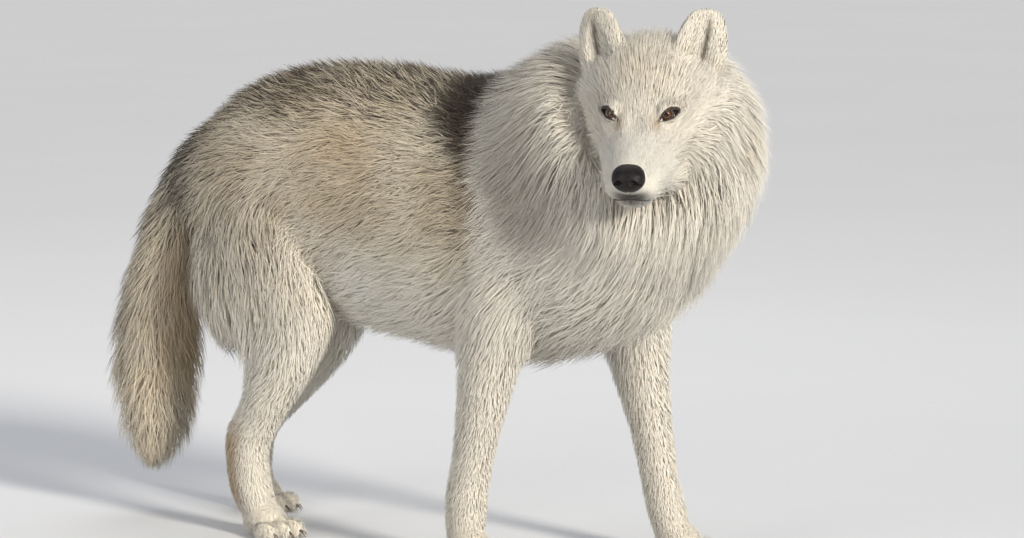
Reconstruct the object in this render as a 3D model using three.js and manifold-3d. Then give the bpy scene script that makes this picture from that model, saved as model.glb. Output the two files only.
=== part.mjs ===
// An arctic wolf standing with its head turned to its right: a life-size still model.
// Millimetres. +X is the way the body faces, +Y its left, +Z up, and the floor is at z = 0.
// Every length of flesh is a tube with oval sections. The coat is flat, tapered locks combed along
// those tubes, rooted in a core that lies half of the coat's depth under the tips.

import * as THREE from "three";
import { mergeVertices } from "three/addons/utils/BufferGeometryUtils.js";
import Module from "manifold-3d";

const wasm = await Module();
wasm.setup();

// ---- driving dimensions ---------------------------------------------------------------------

const GAP = 0.3; // left between two nodes that touch
const FINEST = 0.05; // slivers thinner than this are taken out of a cut solid
const SOFTNESS = 0.01; // keeps the move of a knife-sharp corner short
const LEFT = new THREE.Vector3(0, 1, 0);
const RIGHT = new THREE.Vector3(0, -1, 0);
const QUARTER = Math.PI / 2;

// A station is [x, y, z, wide, above, below]: the middle of a section and its three radii, out to
// the tips of the coat. "Above" is to the front on a leg and on the tail. Stations follow the lie
// of the coat: from the chest to the rump, from the head to the shoulders, from hip to foot.
// `core` is how far under the tips the solid core of the coat lies, at every station or at each.
const TRUNK = {
  side: RIGHT,
  core: 26,
  stations: [
    [456, 0, 468, 48, 45, 54],
    [434, 0, 476, 112, 98, 118],
    [374, 0, 498, 150, 150, 176],
    [280, 0, 520, 156, 196, 224],
    [180, 0, 530, 154, 204, 238],
    [60, 0, 535, 150, 200, 236],
    [-60, 0, 543, 142, 205, 230],
    [-180, 0, 550, 134, 196, 212],
    [-280, 0, 546, 130, 178, 184],
    [-360, 0, 530, 122, 142, 156],
    [-428, 0, 508, 92, 98, 116],
    [-458, 0, 492, 44, 48, 56],
  ],
};
const NECK = {
  side: RIGHT,
  core: 34,
  stations: [
    [448, -82, 716, 58, 48, 54],
    [441, -62, 704, 122, 102, 124],
    [423, -38, 683, 166, 144, 186],
    [387, -18, 654, 181, 174, 216],
    [328, -6, 616, 174, 192, 224],
    [250, 0, 580, 162, 188, 214],
    [160, 0, 552, 140, 182, 190],
    [70, 0, 540, 110, 150, 150],
  ],
};
const TAIL = {
  side: LEFT,
  core: 22,
  stations: [
    [-425, -6, 615, 24, 20, 22],
    [-455, -10, 572, 46, 42, 42],
    [-484, -17, 495, 56, 52, 54],
    [-506, -23, 415, 62, 58, 60],
    [-522, -26, 330, 70, 68, 70],
    [-530, -27, 255, 77, 76, 78],
    [-536, -25, 190, 66, 66, 66],
    [-538, -23, 135, 42, 42, 42],
    [-539, -22, 96, 8, 8, 8],
  ],
};

const LEGS = {
  fore_leg_right: [
    [235, -62, 520, 40, 55, 55],
    [212, -84, 450, 56, 78, 74],
    [192, -98, 385, 52, 66, 66],
    [180, -104, 325, 46, 54, 58],
    [170, -106, 270, 39, 46, 48],
    [156, -106, 205, 33, 39, 40],
    [145, -105, 150, 31, 35, 36],
    [136, -104, 110, 31, 35, 36],
    [131, -103, 70, 30, 34, 33],
    [130, -103, 36, 28, 30, 30],
  ],
  fore_leg_left: [
    [300, 62, 520, 40, 55, 55],
    [300, 86, 450, 56, 74, 76],
    [300, 100, 385, 52, 62, 66],
    [306, 106, 325, 46, 54, 58],
    [312, 108, 270, 39, 46, 48],
    [324, 111, 205, 32, 38, 38],
    [334, 113, 150, 29, 34, 34],
    [342, 114, 110, 28, 32, 33],
    [352, 115, 70, 28, 32, 32],
    [364, 116, 36, 28, 30, 30],
  ],
  hind_leg_right: [
    [-318, -48, 560, 40, 70, 70],
    [-286, -76, 490, 62, 104, 140],
    [-246, -92, 420, 60, 104, 158],
    [-206, -99, 350, 52, 80, 136],
    [-212, -101, 290, 43, 58, 94],
    [-238, -100, 235, 36, 44, 58],
    [-264, -98, 190, 32, 37, 44],
    [-286, -96, 150, 31, 36, 48],
    [-291, -96, 110, 30, 35, 42],
    [-283, -96, 70, 29, 34, 38],
    [-268, -96, 36, 28, 30, 30],
  ],
  hind_leg_left: [
    [-330, 48, 560, 40, 70, 70],
    [-320, 76, 490, 62, 98, 126],
    [-298, 92, 420, 60, 96, 138],
    [-272, 99, 350, 52, 72, 112],
    [-290, 101, 290, 43, 54, 84],
    [-330, 100, 235, 36, 42, 54],
    [-374, 98, 190, 32, 36, 44],
    [-412, 96, 150, 31, 35, 46],
    [-430, 96, 110, 30, 34, 38],
    [-434, 96, 70, 29, 33, 34],
    [-424, 96, 36, 28, 30, 30],
  ],
};
// The hind legs part at the knee into thigh and shank. Only the thigh's coat is long.
const KNEE_HEIGHT = 300;
const HIND_CORE = [16, 16, 16, 12, 3, 0, 0, 0, 0, 0, 0];

// The head has its own frame: its origin is midway between the eyeballs and +X goes to the nose.
const HEAD_AT = new THREE.Vector3(475, -146, 697);
const HEAD_YAW = THREE.MathUtils.degToRad(-68.4);
const HEAD_PITCH = THREE.MathUtils.degToRad(13.5);
const SKULL = {
  side: RIGHT,
  stations: [
    [106, 0, -84, 4, 4, 4],
    [105, 0, -83, 17, 17, 18],
    [100, 0, -80, 28, 29, 31],
    [89, 0, -76, 37, 36, 42],
    [70, 0, -70, 44, 40, 50],
    [44, 0, -60, 52, 42, 58],
    [20, 0, -47, 59, 45, 68],
    [-6, 0, -30, 73, 56, 78],
    [-36, 0, -18, 90, 73, 86],
    [-70, 0, -8, 104, 92, 90],
    [-104, 0, -4, 98, 90, 84],
    [-134, 0, -4, 72, 64, 62],
    [-150, 0, -4, 30, 30, 30],
  ],
};
// The locks of the cheeks lie along the skull and then flare away from it.
const CHEEKS = {
  side: RIGHT,
  stations: [
    [-6, 0, -30, 73, 56, 78],
    [-36, 0, -18, 90, 73, 86],
    [-70, 0, -8, 104, 92, 92],
    [-110, 0, -4, 106, 92, 104],
    [-150, 0, -4, 106, 94, 112],
  ],
};
// Strokes that shape the left half of the head, and mirrored the right: a middle, a reach, a push.
const HEAD_STROKES = [
  { at: [10, 32, 20], reach: 24, push: [6, 1, 2] }, // brow
  { at: [24, 42, -3], reach: 26, push: [-7, -2, 0] }, // hollow of the eye
  { at: [36, 32, -22], reach: 20, push: [-2, -3, 0] }, // tear line
  { at: [-14, 74, -30], reach: 36, push: [3, 4, 0] }, // cheekbone
  { at: [54, 48, -48], reach: 28, push: [0, -4, 0] }, // side of the muzzle
  { at: [92, 34, -88], reach: 26, push: [1, 4, -1] }, // whisker pad
  { at: [104, 10, -114], reach: 26, push: [-6, 0, 0] }, // chin
  { at: [34, 0, -4], reach: 26, push: [-3, 0, -2] }, // stop
  { at: [-24, 0, 62], reach: 22, push: [0, 0, -2] }, // furrow of the forehead
];
const EYE = { radius: 12, at: [10, 38.5, 4], turnedOut: 0.45, slant: 0.45 };
const LIDS = { halfLength: 13.5, halfHeight: 7, radius: 2.2, raised: 1.6, thick: 2 };
const EAR = {
  turnedOut: 0.42, // how far the cup faces outwards, in radians
  stations: [
    [-72, 58, 26, 32, 15, 13],
    [-78, 66, 46, 38, 17, 14],
    [-86, 73, 70, 38, 15, 12],
    [-95, 78, 93, 33, 12, 9],
    [-103, 81, 112, 22, 9, 6],
    [-108, 82, 125, 9, 5, 3],
  ],
  cup: { forward: 13, from: 54, to: 118, wide: 0.72, back: 1.25, front: 2.2 },
};
const NOSE = { at: [105, 0, -63], radii: [20, 24.5, 20], nostril: 5 };
// The mouth runs along the skull's surface, from its middle in front to its corner. Each point is a
// station's number and an angle from the top, in degrees.
const MOUTH = {
  points: [
    [1.2, 180],
    [1.75, 142],
    [2.6, 126],
    [4, 126],
    [5.2, 127],
    [6.2, 121],
  ],
  lip: 3.4,
  groove: 2.2,
};

// A coat is rows of flat locks over a tube. The first and last rows are rooted at the shares `from`
// and `to` of its length, `step` apart, and the locks of a row are `across` apart. A lock's root is
// `sink` under the surface and its tip rises over it; `lean` turns it down the tube's flanks.
const COATS = {
  head: {
    from: 0.2, to: 0.5, step: 45, across: 66,
    length: 88, wide: 68, thick: 22, sink: 10, rise: 12, lean: 0.1,
  },
  neck: {
    from: 0.22, to: 0.8, step: 88, across: 92,
    length: 165, wide: 98, thick: 40, sink: 18, rise: 46, lean: 0.2,
  },
  torso: {
    from: 0.05, to: 0.87, step: 104, across: 112,
    length: 190, wide: 118, thick: 34, sink: 16, rise: 34, lean: 0.25,
  },
  tail: {
    from: 0.06, to: 0.76, step: 74, across: 80,
    length: 128, wide: 78, thick: 28, sink: 14, rise: 28, lean: 0,
  },
  thigh: {
    from: 0.1, to: 0.32, step: 76, across: 92,
    length: 124, wide: 90, thick: 26, sink: 12, rise: 22, lean: 0,
  },
};
const LOCK_WIDTHS = [0.75, 1, 0.72, 0]; // from root to tip, as shares of `wide`
const CHEEK_TOP = 0.25; // locks of the head grow only where the cosine from the top is under this

const PAW = {
  middle: { at: [2, 0, 26], radii: [38, 31, 30] },
  toes: [
    { at: [46, 12, 15], radii: [25, 12.5, 17] },
    { at: [32, 31, 14], radii: [24, 12, 16] },
  ],
  claw: { radius: 3.6, length: 16, droop: 0.35 },
  sunk: 1.2, // how far the pads would reach under the floor, which cuts them flat
};
const PAWS = {
  fore_paw_right: { x: 136, y: -104, turn: -8 },
  fore_paw_left: { x: 370, y: 117, turn: 4 },
  hind_paw_right: { x: -262, y: -96, turn: -6 },
  hind_paw_left: { x: -420, y: 96, turn: -4 },
};

// ---- tubes ------------------------------------------------------------------------------------

function spline(points) {
  const corners = points.map((p) => new THREE.Vector3(...p));
  return new THREE.CatmullRomCurve3(corners, false, "catmullrom", 0.5);
}

// A tube through stations. Its sections lie across its middle line, with their width along `side`.
class Tube {
  constructor({ stations, side, core = 0 }) {
    const thinned = (i) => (radius) => Math.max(radius - (core[i] ?? core), radius * 0.4);
    this.middle = spline(stations.map((s) => s.slice(0, 3)));
    this.size = spline(stations.map((s, i) => s.slice(3).map(thinned(i))));
    this.side = side;
    this.length = this.middle.getLength();
    this.count = stations.length - 1;
  }

  frame(t) {
    const along = this.middle.getTangent(t);
    const side = this.side.clone().addScaledVector(along, -this.side.dot(along)).normalize();
    return { along, side, up: along.clone().cross(side) };
  }

  // The point at t along the tube (0 to 1) and at an angle from the top round to the side.
  at(t, angle, lift = 0, share = 1) {
    const inside = THREE.MathUtils.clamp(t, 0, 1);
    const { along, side, up } = this.frame(inside);
    const size = this.size.getPoint(inside);
    const high = Math.cos(angle) > 0 ? size.y : size.z;
    const point = this.middle.getPoint(inside);
    point.addScaledVector(along, (t - inside) * this.length);
    point.addScaledVector(side, share * (size.x + lift) * Math.sin(angle));
    return point.addScaledVector(up, share * (high + lift) * Math.cos(angle));
  }

  // How far the surface is from the middle line.
  reach(t, angle) {
    return this.at(t, angle).distanceTo(this.middle.getPoint(THREE.MathUtils.clamp(t, 0, 1)));
  }

  contains(point) {
    for (let t = 0.02; t < 1; t += 0.02) {
      const out = point.clone().sub(this.middle.getPoint(t));
      const { along, side, up } = this.frame(t);
      if (Math.abs(out.dot(along)) > 0.02 * this.length) continue;
      if (out.length() < this.reach(t, Math.atan2(out.dot(side), out.dot(up)))) return true;
    }
    return false;
  }

  geometry(around, rings) {
    const made = new THREE.CylinderGeometry(1, 1, 1, around, rings);
    const place = made.getAttribute("position");
    for (let i = 0; i < place.count; i++) {
      const share = Math.hypot(place.getX(i), place.getZ(i));
      const angle = Math.atan2(place.getX(i), place.getZ(i));
      const p = this.at(0.5 - place.getY(i), angle, 0, share);
      place.setXYZ(i, p.x, p.y, p.z);
    }
    return made;
  }
}

// ---- solids -----------------------------------------------------------------------------------

// The move of a corner that takes each of the faces round it out by about 1.
function outward(normals) {
  const total = (value) => normals.reduce((sum, n) => sum + value(n), 0);
  const [xy, xz, yz] = [total((n) => n.x * n.y), total((n) => n.x * n.z), total((n) => n.y * n.z)];
  const [xx, yy, zz] = ["x", "y", "z"].map((axis) => total((n) => n[axis] ** 2) + SOFTNESS);
  const spread = new THREE.Matrix3().set(xx, xy, xz, xy, yy, yz, xz, yz, zz);
  const move = normals.reduce((sum, n) => sum.add(n), new THREE.Vector3());
  move.applyMatrix3(spread.invert());
  const least = Math.min(...normals.map((n) => n.dot(move)));
  return move.divideScalar(Math.max(least, 0.5));
}

// Moves each corner of a closed mesh so that the faces round it move out by `swell`.
function fatten(geometry, swell) {
  const place = geometry.getAttribute("position");
  const normals = Array.from({ length: place.count }, () => []);
  const face = new THREE.Triangle();
  for (let i = 0; i < geometry.index.count; i += 3) {
    const corners = [0, 1, 2].map((k) => geometry.index.getX(i + k));
    face.setFromAttributeAndIndices(place, ...corners);
    const normal = face.getNormal(new THREE.Vector3());
    if (normal.lengthSq() > 0) corners.forEach((corner) => normals[corner].push(normal));
  }
  normals.forEach((round, i) => {
    const moved = new THREE.Vector3().fromBufferAttribute(place, i);
    moved.addScaledVector(outward(round), swell);
    place.setXYZ(i, moved.x, moved.y, moved.z);
  });
}

// A closed mesh as a solid, fattened by `swell`. `mirrored` turns the faces round again after a
// mirroring has turned them inside out.
function solid(geometry, swell = 0, mirrored = false) {
  const bare = new THREE.BufferGeometry();
  bare.setAttribute("position", geometry.getAttribute("position"));
  bare.setIndex(geometry.index);
  const merged = mergeVertices(bare, 1e-4);
  if (mirrored) merged.index.array.reverse();
  if (swell > 0) fatten(merged, swell);
  return new wasm.Manifold(
    new wasm.Mesh({
      numProp: 3,
      vertProperties: new Float32Array(merged.getAttribute("position").array),
      triVerts: new Uint32Array(merged.index.array),
    }),
  );
}

function joined(bodies) {
  return bodies.reduce((sum, body) => sum.add(body));
}

function largest(body) {
  const pieces = body.decompose();
  return pieces.reduce((best, piece) => (piece.volume() > best.volume() ? piece : best));
}

function ball({ at, radii }, around, rings, swell = 0) {
  const made = new THREE.SphereGeometry(1, around, rings);
  return solid(made.scale(...radii).translate(...at), swell);
}

const flip = ([x, y, z]) => [x, -y, z];
const asIs = (v) => v;

// ---- locks of the coat ------------------------------------------------------------------------

let seed = 7;
function random() {
  seed = (seed + 0x6d2b79f5) | 0;
  let mixed = Math.imul(seed ^ (seed >>> 15), 1 | seed);
  mixed = (mixed + Math.imul(mixed ^ (mixed >>> 7), 61 | mixed)) ^ mixed;
  return ((mixed ^ (mixed >>> 14)) >>> 0) / 2 ** 32;
}
const vary = (value, share) => value * (1 + share * (2 * random() - 1));

// A flat lock, bent over a tube. It starts under the surface at (t, angle), widens, and tapers to
// a tip that stands `rise` off the surface.
function lock(tube, { t, angle, length, wide, thick, sink, rise, lean }, swell) {
  const last = LOCK_WIDTHS.length - 1;
  const cone = new THREE.ConeGeometry(1, 1, 3, last);
  const place = cone.getAttribute("position");
  for (let i = 0; i < place.count; i++) {
    const row = Math.round((place.getY(i) + 0.5) * last);
    const open = row < last ? last / (last - row) : 0;
    const across = -place.getX(i) * open * LOCK_WIDTHS[row] * wide * 0.5;
    const over = place.getZ(i) * open * LOCK_WIDTHS[row] * thick * 0.5;
    const along = row / last;
    const where = t + (along * length) / tube.length;
    const turned = angle + lean * along;
    const round = turned + across / tube.reach(where, turned);
    const p = tube.at(where, round, over - sink + (sink + rise) * along);
    place.setXYZ(i, p.x, p.y, p.z);
  }
  return solid(cone, swell);
}

// The locks of a coat, in rows like shingles, where `grows(point, angle)` says so.
function coat(tube, plan, grows) {
  const locks = [];
  const rows = Math.round(((plan.to - plan.from) * tube.length) / plan.step);
  for (let row = 0; row <= rows; row++) {
    const t = THREE.MathUtils.lerp(plan.from, plan.to, row / rows);
    const around = 2 * Math.PI * ((tube.reach(t, 0) + tube.reach(t, QUARTER)) / 2);
    const count = Math.max(3, Math.round(around / plan.across));
    for (let i = 0; i < count; i++) {
      const stagger = 0.5 * (row % 2) + 0.25 * (random() - 0.5);
      const angle = ((i + stagger) / count) * 2 * Math.PI - Math.PI;
      const made = {
        ...plan,
        t: t + (0.25 * plan.step * (random() - 0.5)) / tube.length,
        angle,
        length: vary(plan.length, 0.15),
        wide: vary(plan.wide, 0.12),
        rise: vary(plan.rise, 0.15),
        lean: plan.lean * Math.sin(angle),
      };
      if (grows(tube.at(made.t, angle), angle)) locks.push(made);
    }
  }
  return locks;
}

// A tube's core with its locks, as one body.
function furred(tube, locks, around, rings) {
  return (swell) => {
    const core = solid(tube.geometry(around, rings), swell);
    return joined([core, ...locks.map((l) => lock(tube, l, swell))]);
  };
}

// ---- assembly: a new node is cut clear of every node made before it ------------------------------

const wolf = new THREE.Group();
const stance = new THREE.Group();
const head = new THREE.Group();
head.position.copy(HEAD_AT);
head.rotation.set(0, HEAD_PITCH, HEAD_YAW, "ZYX");
stance.add(head);
wolf.add(stance);
wolf.updateMatrixWorld(true);

const fur = new THREE.MeshStandardMaterial({ color: 0xe6dfcf, roughness: 0.95 });
const leather = new THREE.MeshStandardMaterial({ color: 0x1c1a1a, roughness: 0.45 });
const iris = new THREE.MeshStandardMaterial({ color: 0x6b3f17, roughness: 0.15 });

const cleared = [];

// `shape(swell)` gives the node's solid in its group's frame, fattened by swell on every side.
function addNode(group, name, material, shape) {
  let body = shape(0).transform(group.matrix.elements);
  for (const other of cleared) body = body.subtract(other);
  body = largest(body.simplify(FINEST)).transform(group.matrix.clone().invert().elements);
  cleared.push(shape(GAP).transform(group.matrix.elements));
  const { vertProperties, triVerts } = body.getMesh();
  const geometry = new THREE.BufferGeometry();
  geometry.setAttribute("position", new THREE.BufferAttribute(vertProperties, 3));
  geometry.setIndex(new THREE.BufferAttribute(triVerts, 1));
  geometry.computeVertexNormals();
  const made = new THREE.Mesh(geometry, material);
  made.name = name;
  group.add(made);
}

// ---- the head's pieces --------------------------------------------------------------------------

const skullTube = new Tube(SKULL);

function sculpt(start) {
  const point = start.clone();
  for (const { at, reach, push } of HEAD_STROKES) {
    for (const turn of [asIs, flip]) {
      const near = 1 - start.distanceToSquared(new THREE.Vector3(...turn(at))) / reach ** 2;
      if (near > 0) point.addScaledVector(new THREE.Vector3(...turn(push)), near ** 2);
    }
  }
  return point;
}

function sculpted(geometry) {
  const place = geometry.getAttribute("position");
  for (let i = 0; i < place.count; i++) {
    const point = sculpt(new THREE.Vector3().fromBufferAttribute(place, i));
    place.setXYZ(i, point.x, point.y, point.z);
  }
  return geometry;
}

// The opening of an eye in its own plane: q runs from the inner corner over the ball and back under.
function almond(q) {
  const along = -LIDS.halfLength * Math.cos(q);
  const up = LIDS.halfHeight * Math.sign(Math.sin(q)) * Math.abs(Math.sin(q)) ** 1.25;
  return new THREE.Vector2(along, up).rotateAround(new THREE.Vector2(), EYE.slant);
}

// From the eye's own plane, `deep` millimetres out along the way the eye looks, to the head's frame.
function fromEye(turn, { x: across, y: up }, deep) {
  const x = EYE.at[0] + deep * Math.cos(EYE.turnedOut) - across * Math.sin(EYE.turnedOut);
  const y = EYE.at[1] + deep * Math.sin(EYE.turnedOut) + across * Math.cos(EYE.turnedOut);
  return turn([x, y, EYE.at[2] + up]);
}

// A lid runs from the inner corner of the eye to the outer one, over the ball (1) or under it (-1).
function lid(turn, over) {
  const steps = 6;
  const stations = [];
  for (let i = 0; i <= steps; i++) {
    const q = (Math.PI * i) / steps;
    const flat = almond(over * q);
    const deep = Math.sqrt(Math.max((EYE.radius + LIDS.raised) ** 2 - flat.lengthSq(), 40));
    const radius = LIDS.radius * (0.6 + 0.4 * Math.sin(q));
    stations.push([...fromEye(turn, flat, deep), radius, radius, radius]);
  }
  return solid(new Tube({ stations, side: new THREE.Vector3(0.8, 0, 0.6) }).geometry(4, steps));
}

// The skin of the lids lies over the whole ball. The socket then opens it.
function lidBall(turn) {
  const radius = EYE.radius + LIDS.thick;
  return ball({ at: turn(EYE.at), radii: [radius, radius, radius] }, 10, 7);
}

// What is cut away in front of an eyeball, so that the socket is open.
function socket(turn) {
  const rim = Array.from({ length: 10 }, (_, i) => almond((i * Math.PI) / 5));
  const outline = new THREE.Shape(rim);
  const block = new THREE.ExtrudeGeometry(outline, { depth: 26, bevelEnabled: false, steps: 1 });
  const place = block.getAttribute("position");
  for (let i = 0; i < place.count; i++) {
    const flat = new THREE.Vector2(place.getX(i), place.getY(i));
    place.setXYZ(i, ...fromEye(turn, flat, 4 + place.getZ(i)));
  }
  return solid(block, 0, turn === flip);
}

function ear(turn, swell) {
  const across = new THREE.Vector3(-Math.sin(EAR.turnedOut), Math.cos(EAR.turnedOut), 0);
  if (turn === flip) across.x *= -1;
  const stations = EAR.stations.map(([x, y, z, ...radii]) => [...turn([x, y, z]), ...radii]);
  const body = solid(new Tube({ stations, side: across }).geometry(10, 7), swell);
  if (swell > 0) return body;
  const { forward, from, to, wide, back, front } = EAR.cup;
  const low = EAR.stations[1][2];
  const high = EAR.stations.at(-1)[2];
  const hollow = EAR.stations.slice(1).map(([x, y, z, w, b]) => {
    const ahead = [x + forward * Math.cos(EAR.turnedOut), y + forward * Math.sin(EAR.turnedOut)];
    const height = THREE.MathUtils.mapLinear(z, low, high, from, to);
    return [...turn([...ahead, height]), w * wide, b * back, b * front];
  });
  return body.subtract(solid(new Tube({ stations: hollow, side: across }).geometry(8, 5)));
}

function nose(swell) {
  const pad = ball(NOSE, 12, 8, swell);
  if (swell > 0) return pad;
  const nostrils = [1, -1].map((s) => {
    const path = [
      [30, 4 * s, 2],
      [18, 9.5 * s, 0],
      [8, 17 * s, -3],
      [-2, 27 * s, -8],
    ];
    const radii = [1, 0.9, 0.6, 0.4].map((share) => NOSE.nostril * share);
    const stations = path.map((p, i) => [...p, radii[i], radii[i], radii[i]]);
    const hole = new Tube({ stations, side: new THREE.Vector3(0, 0, 1) }).geometry(5, 4);
    return solid(hole.translate(...NOSE.at));
  });
  return pad.subtract(joined(nostrils));
}

// A round cord over the skull's surface along the mouth, `lift` above it.
function mouthCord(radius, lift) {
  const oneSide = MOUTH.points.map(([station, degrees]) => {
    const angle = THREE.MathUtils.degToRad(degrees);
    return sculpt(skullTube.at(station / skullTube.count, angle, lift)).toArray();
  });
  const path = [...oneSide.slice(1).reverse().map(flip), ...oneSide];
  const stations = path.map((p, i) => {
    const thin = i === 0 || i === path.length - 1 ? 0.4 : 1;
    return [...p, radius * thin, radius * thin, radius * thin];
  });
  return solid(new Tube({ stations, side: new THREE.Vector3(0, 0, 1) }).geometry(5, 14));
}

const cheeks = new Tube(CHEEKS);
const cheekLocks = coat(cheeks, COATS.head, (_, angle) => Math.cos(angle) < CHEEK_TOP);

function skull(swell) {
  const bare = solid(sculpted(skullTube.geometry(22, 17)), swell);
  const flesh = joined([bare, ...cheekLocks.map((l) => lock(cheeks, l, swell))]);
  if (swell > 0) return flesh;
  const lids = [asIs, flip].flatMap((turn) => [lid(turn, 1), lid(turn, -1)]);
  const covers = [asIs, flip].map((turn) => lidBall(turn));
  const shaped = joined([flesh, ...covers, ...lids, mouthCord(MOUTH.lip, 0)]);
  const cuts = joined([socket(asIs), socket(flip), mouthCord(MOUTH.groove, MOUTH.lip - 0.6)]);
  return shaped.subtract(cuts);
}

for (const [name, turn] of Object.entries({ eye_left: asIs, eye_right: flip })) {
  const radii = [EYE.radius, EYE.radius, EYE.radius];
  addNode(head, name, iris, (swell) => ball({ at: turn(EYE.at), radii }, 10, 7, swell));
}
addNode(head, "nose", leather, nose);
addNode(head, "ear_left", fur, (swell) => ear(asIs, swell));
addNode(head, "ear_right", fur, (swell) => ear(flip, swell));
addNode(head, "head", fur, skull);

// ---- neck, trunk and tail -----------------------------------------------------------------------

const neckTube = new Tube(NECK);
const trunkTube = new Tube(TRUNK);
const tailTube = new Tube(TAIL);
const inTrunk = (point) => trunkTube.contains(point);
const inSkull = (point) => skullTube.contains(head.worldToLocal(point.clone()));

const neckLocks = coat(neckTube, COATS.neck, (point) => !inSkull(point) && !inTrunk(point));
const trunkLocks = coat(trunkTube, COATS.torso, (point) => !neckTube.contains(point));
const tailLocks = coat(tailTube, COATS.tail, (point) => !inTrunk(point));
addNode(stance, "neck", fur, furred(neckTube, neckLocks, 14, 9));
addNode(stance, "torso", fur, furred(trunkTube, trunkLocks, 14, 11));
addNode(stance, "tail", fur, furred(tailTube, tailLocks, 9, 8));

// ---- legs and paws ------------------------------------------------------------------------------

function paw({ x, y, turn }, swell) {
  const { middle, toes, claw, sunk } = PAW;
  const pieces = [ball(middle, 8, 5, swell)];
  for (const side of [1, -1]) {
    for (const toe of toes) {
      const at = side > 0 ? toe.at : flip(toe.at);
      pieces.push(ball({ at, radii: toe.radii }, 5, 4, swell));
      const point = new THREE.ConeGeometry(claw.radius, claw.length, 3);
      point.rotateZ(-QUARTER - claw.droop);
      pieces.push(solid(point.translate(at[0] + toe.radii[0] + 1, at[1], at[2] - 4), swell));
    }
  }
  const turned = joined(pieces).translate([0, 0, -sunk]).rotate([0, 0, turn]);
  return turned.translate([x, y, 0]).trimByPlane([0, 0, 1], 0);
}

for (const [name, place] of Object.entries(PAWS)) {
  addNode(stance, name, fur, (swell) => paw(place, swell));
}
for (const [name, stations] of Object.entries(LEGS)) {
  if (name.startsWith("fore")) {
    addNode(stance, name, fur, furred(new Tube({ stations, side: LEFT }), [], 10, 13));
    continue;
  }
  const tube = new Tube({ stations, side: LEFT, core: HIND_CORE });
  const locks = coat(tube, COATS.thigh, (point) => !inTrunk(point));
  const bare = furred(tube, [], 10, 12);
  const thigh = (swell) => {
    const above = bare(swell).trimByPlane([0, 0, 1], KNEE_HEIGHT - swell);
    return joined([above, ...locks.map((l) => lock(tube, l, swell))]);
  };
  addNode(stance, name.replace("leg", "thigh"), fur, thigh);
  const shank = (swell) => bare(swell).trimByPlane([0, 0, -1], -KNEE_HEIGHT);
  addNode(stance, name.replace("leg", "shank"), fur, shank);
}

// The origin is on the floor under the middle of the whole wolf.
const box = new THREE.Box3().setFromObject(wolf, true);
const centre = box.getCenter(new THREE.Vector3());
stance.position.set(-centre.x, -centre.y, 0);

export default wolf;
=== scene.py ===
import math

import bmesh
import bpy
import numpy as np
from mathutils import Matrix, Vector
from mathutils.bvhtree import BVHTree
from mathutils.kdtree import KDTree


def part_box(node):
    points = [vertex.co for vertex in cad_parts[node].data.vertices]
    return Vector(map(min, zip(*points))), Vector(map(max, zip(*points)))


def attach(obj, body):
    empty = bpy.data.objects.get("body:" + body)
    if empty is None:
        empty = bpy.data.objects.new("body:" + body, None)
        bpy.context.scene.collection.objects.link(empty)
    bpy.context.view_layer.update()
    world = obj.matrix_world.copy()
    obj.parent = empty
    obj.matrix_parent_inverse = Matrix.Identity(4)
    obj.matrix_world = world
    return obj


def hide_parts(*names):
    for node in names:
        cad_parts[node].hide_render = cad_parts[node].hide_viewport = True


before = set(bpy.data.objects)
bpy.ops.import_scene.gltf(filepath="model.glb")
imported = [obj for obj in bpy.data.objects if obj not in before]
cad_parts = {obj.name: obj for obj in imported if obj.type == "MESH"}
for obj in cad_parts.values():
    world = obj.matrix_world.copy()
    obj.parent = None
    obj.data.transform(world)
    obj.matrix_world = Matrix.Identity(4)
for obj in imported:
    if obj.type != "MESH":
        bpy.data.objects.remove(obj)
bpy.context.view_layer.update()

# A life-size arctic wolf, standing, with its head turned to its right. Metres; +X is the way the
# body faces, +Y its left, +Z up. Sizes in the tables are millimetres in the wolf's own frame, which
# differs from the row's only by SHIFT.

MM = 0.001
random = np.random.default_rng(11)

# ---- the tables of the shapes --------------------------------------------------------------------

# A station is [x, y, z, wide, above, below], and then how deep the skin lies under the tips.
TRUNK = [
    [456, 0, 468, 48, 45, 54, 26],
    [434, 0, 476, 112, 98, 118, 26],
    [374, 0, 498, 150, 150, 176, 28],
    [280, 0, 520, 156, 196, 224, 28],
    [180, 0, 530, 154, 204, 238, 28],
    [60, 0, 535, 150, 200, 236, 28],
    [-60, 0, 543, 142, 205, 230, 28],
    [-180, 0, 550, 134, 196, 212, 27],
    [-280, 0, 546, 130, 178, 184, 26],
    [-360, 0, 530, 122, 142, 156, 26],
    [-428, 0, 508, 92, 98, 116, 26],
    [-458, 0, 492, 44, 48, 56, 26],
]
NECK = [
    [448, -82, 716, 58, 48, 54, 34],
    [441, -62, 704, 122, 102, 124, 34],
    [423, -38, 683, 166, 144, 186, 36],
    [387, -18, 654, 181, 174, 216, 36],
    [328, -6, 616, 174, 192, 224, 36],
    [250, 0, 580, 162, 188, 214, 34],
    [160, 0, 552, 140, 182, 190, 32],
    [70, 0, 540, 110, 150, 150, 32],
]
TAIL = [
    [-425, -6, 615, 24, 20, 22, 22],
    [-455, -10, 572, 46, 42, 42, 22],
    [-484, -17, 495, 56, 52, 54, 24],
    [-506, -23, 415, 62, 58, 60, 28],
    [-522, -26, 330, 70, 68, 70, 34],
    [-530, -27, 255, 77, 76, 78, 42],
    [-536, -25, 190, 66, 66, 66, 42],
    [-538, -23, 135, 42, 42, 42, 30],
    [-539, -22, 96, 8, 8, 8, 6],
]
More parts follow.
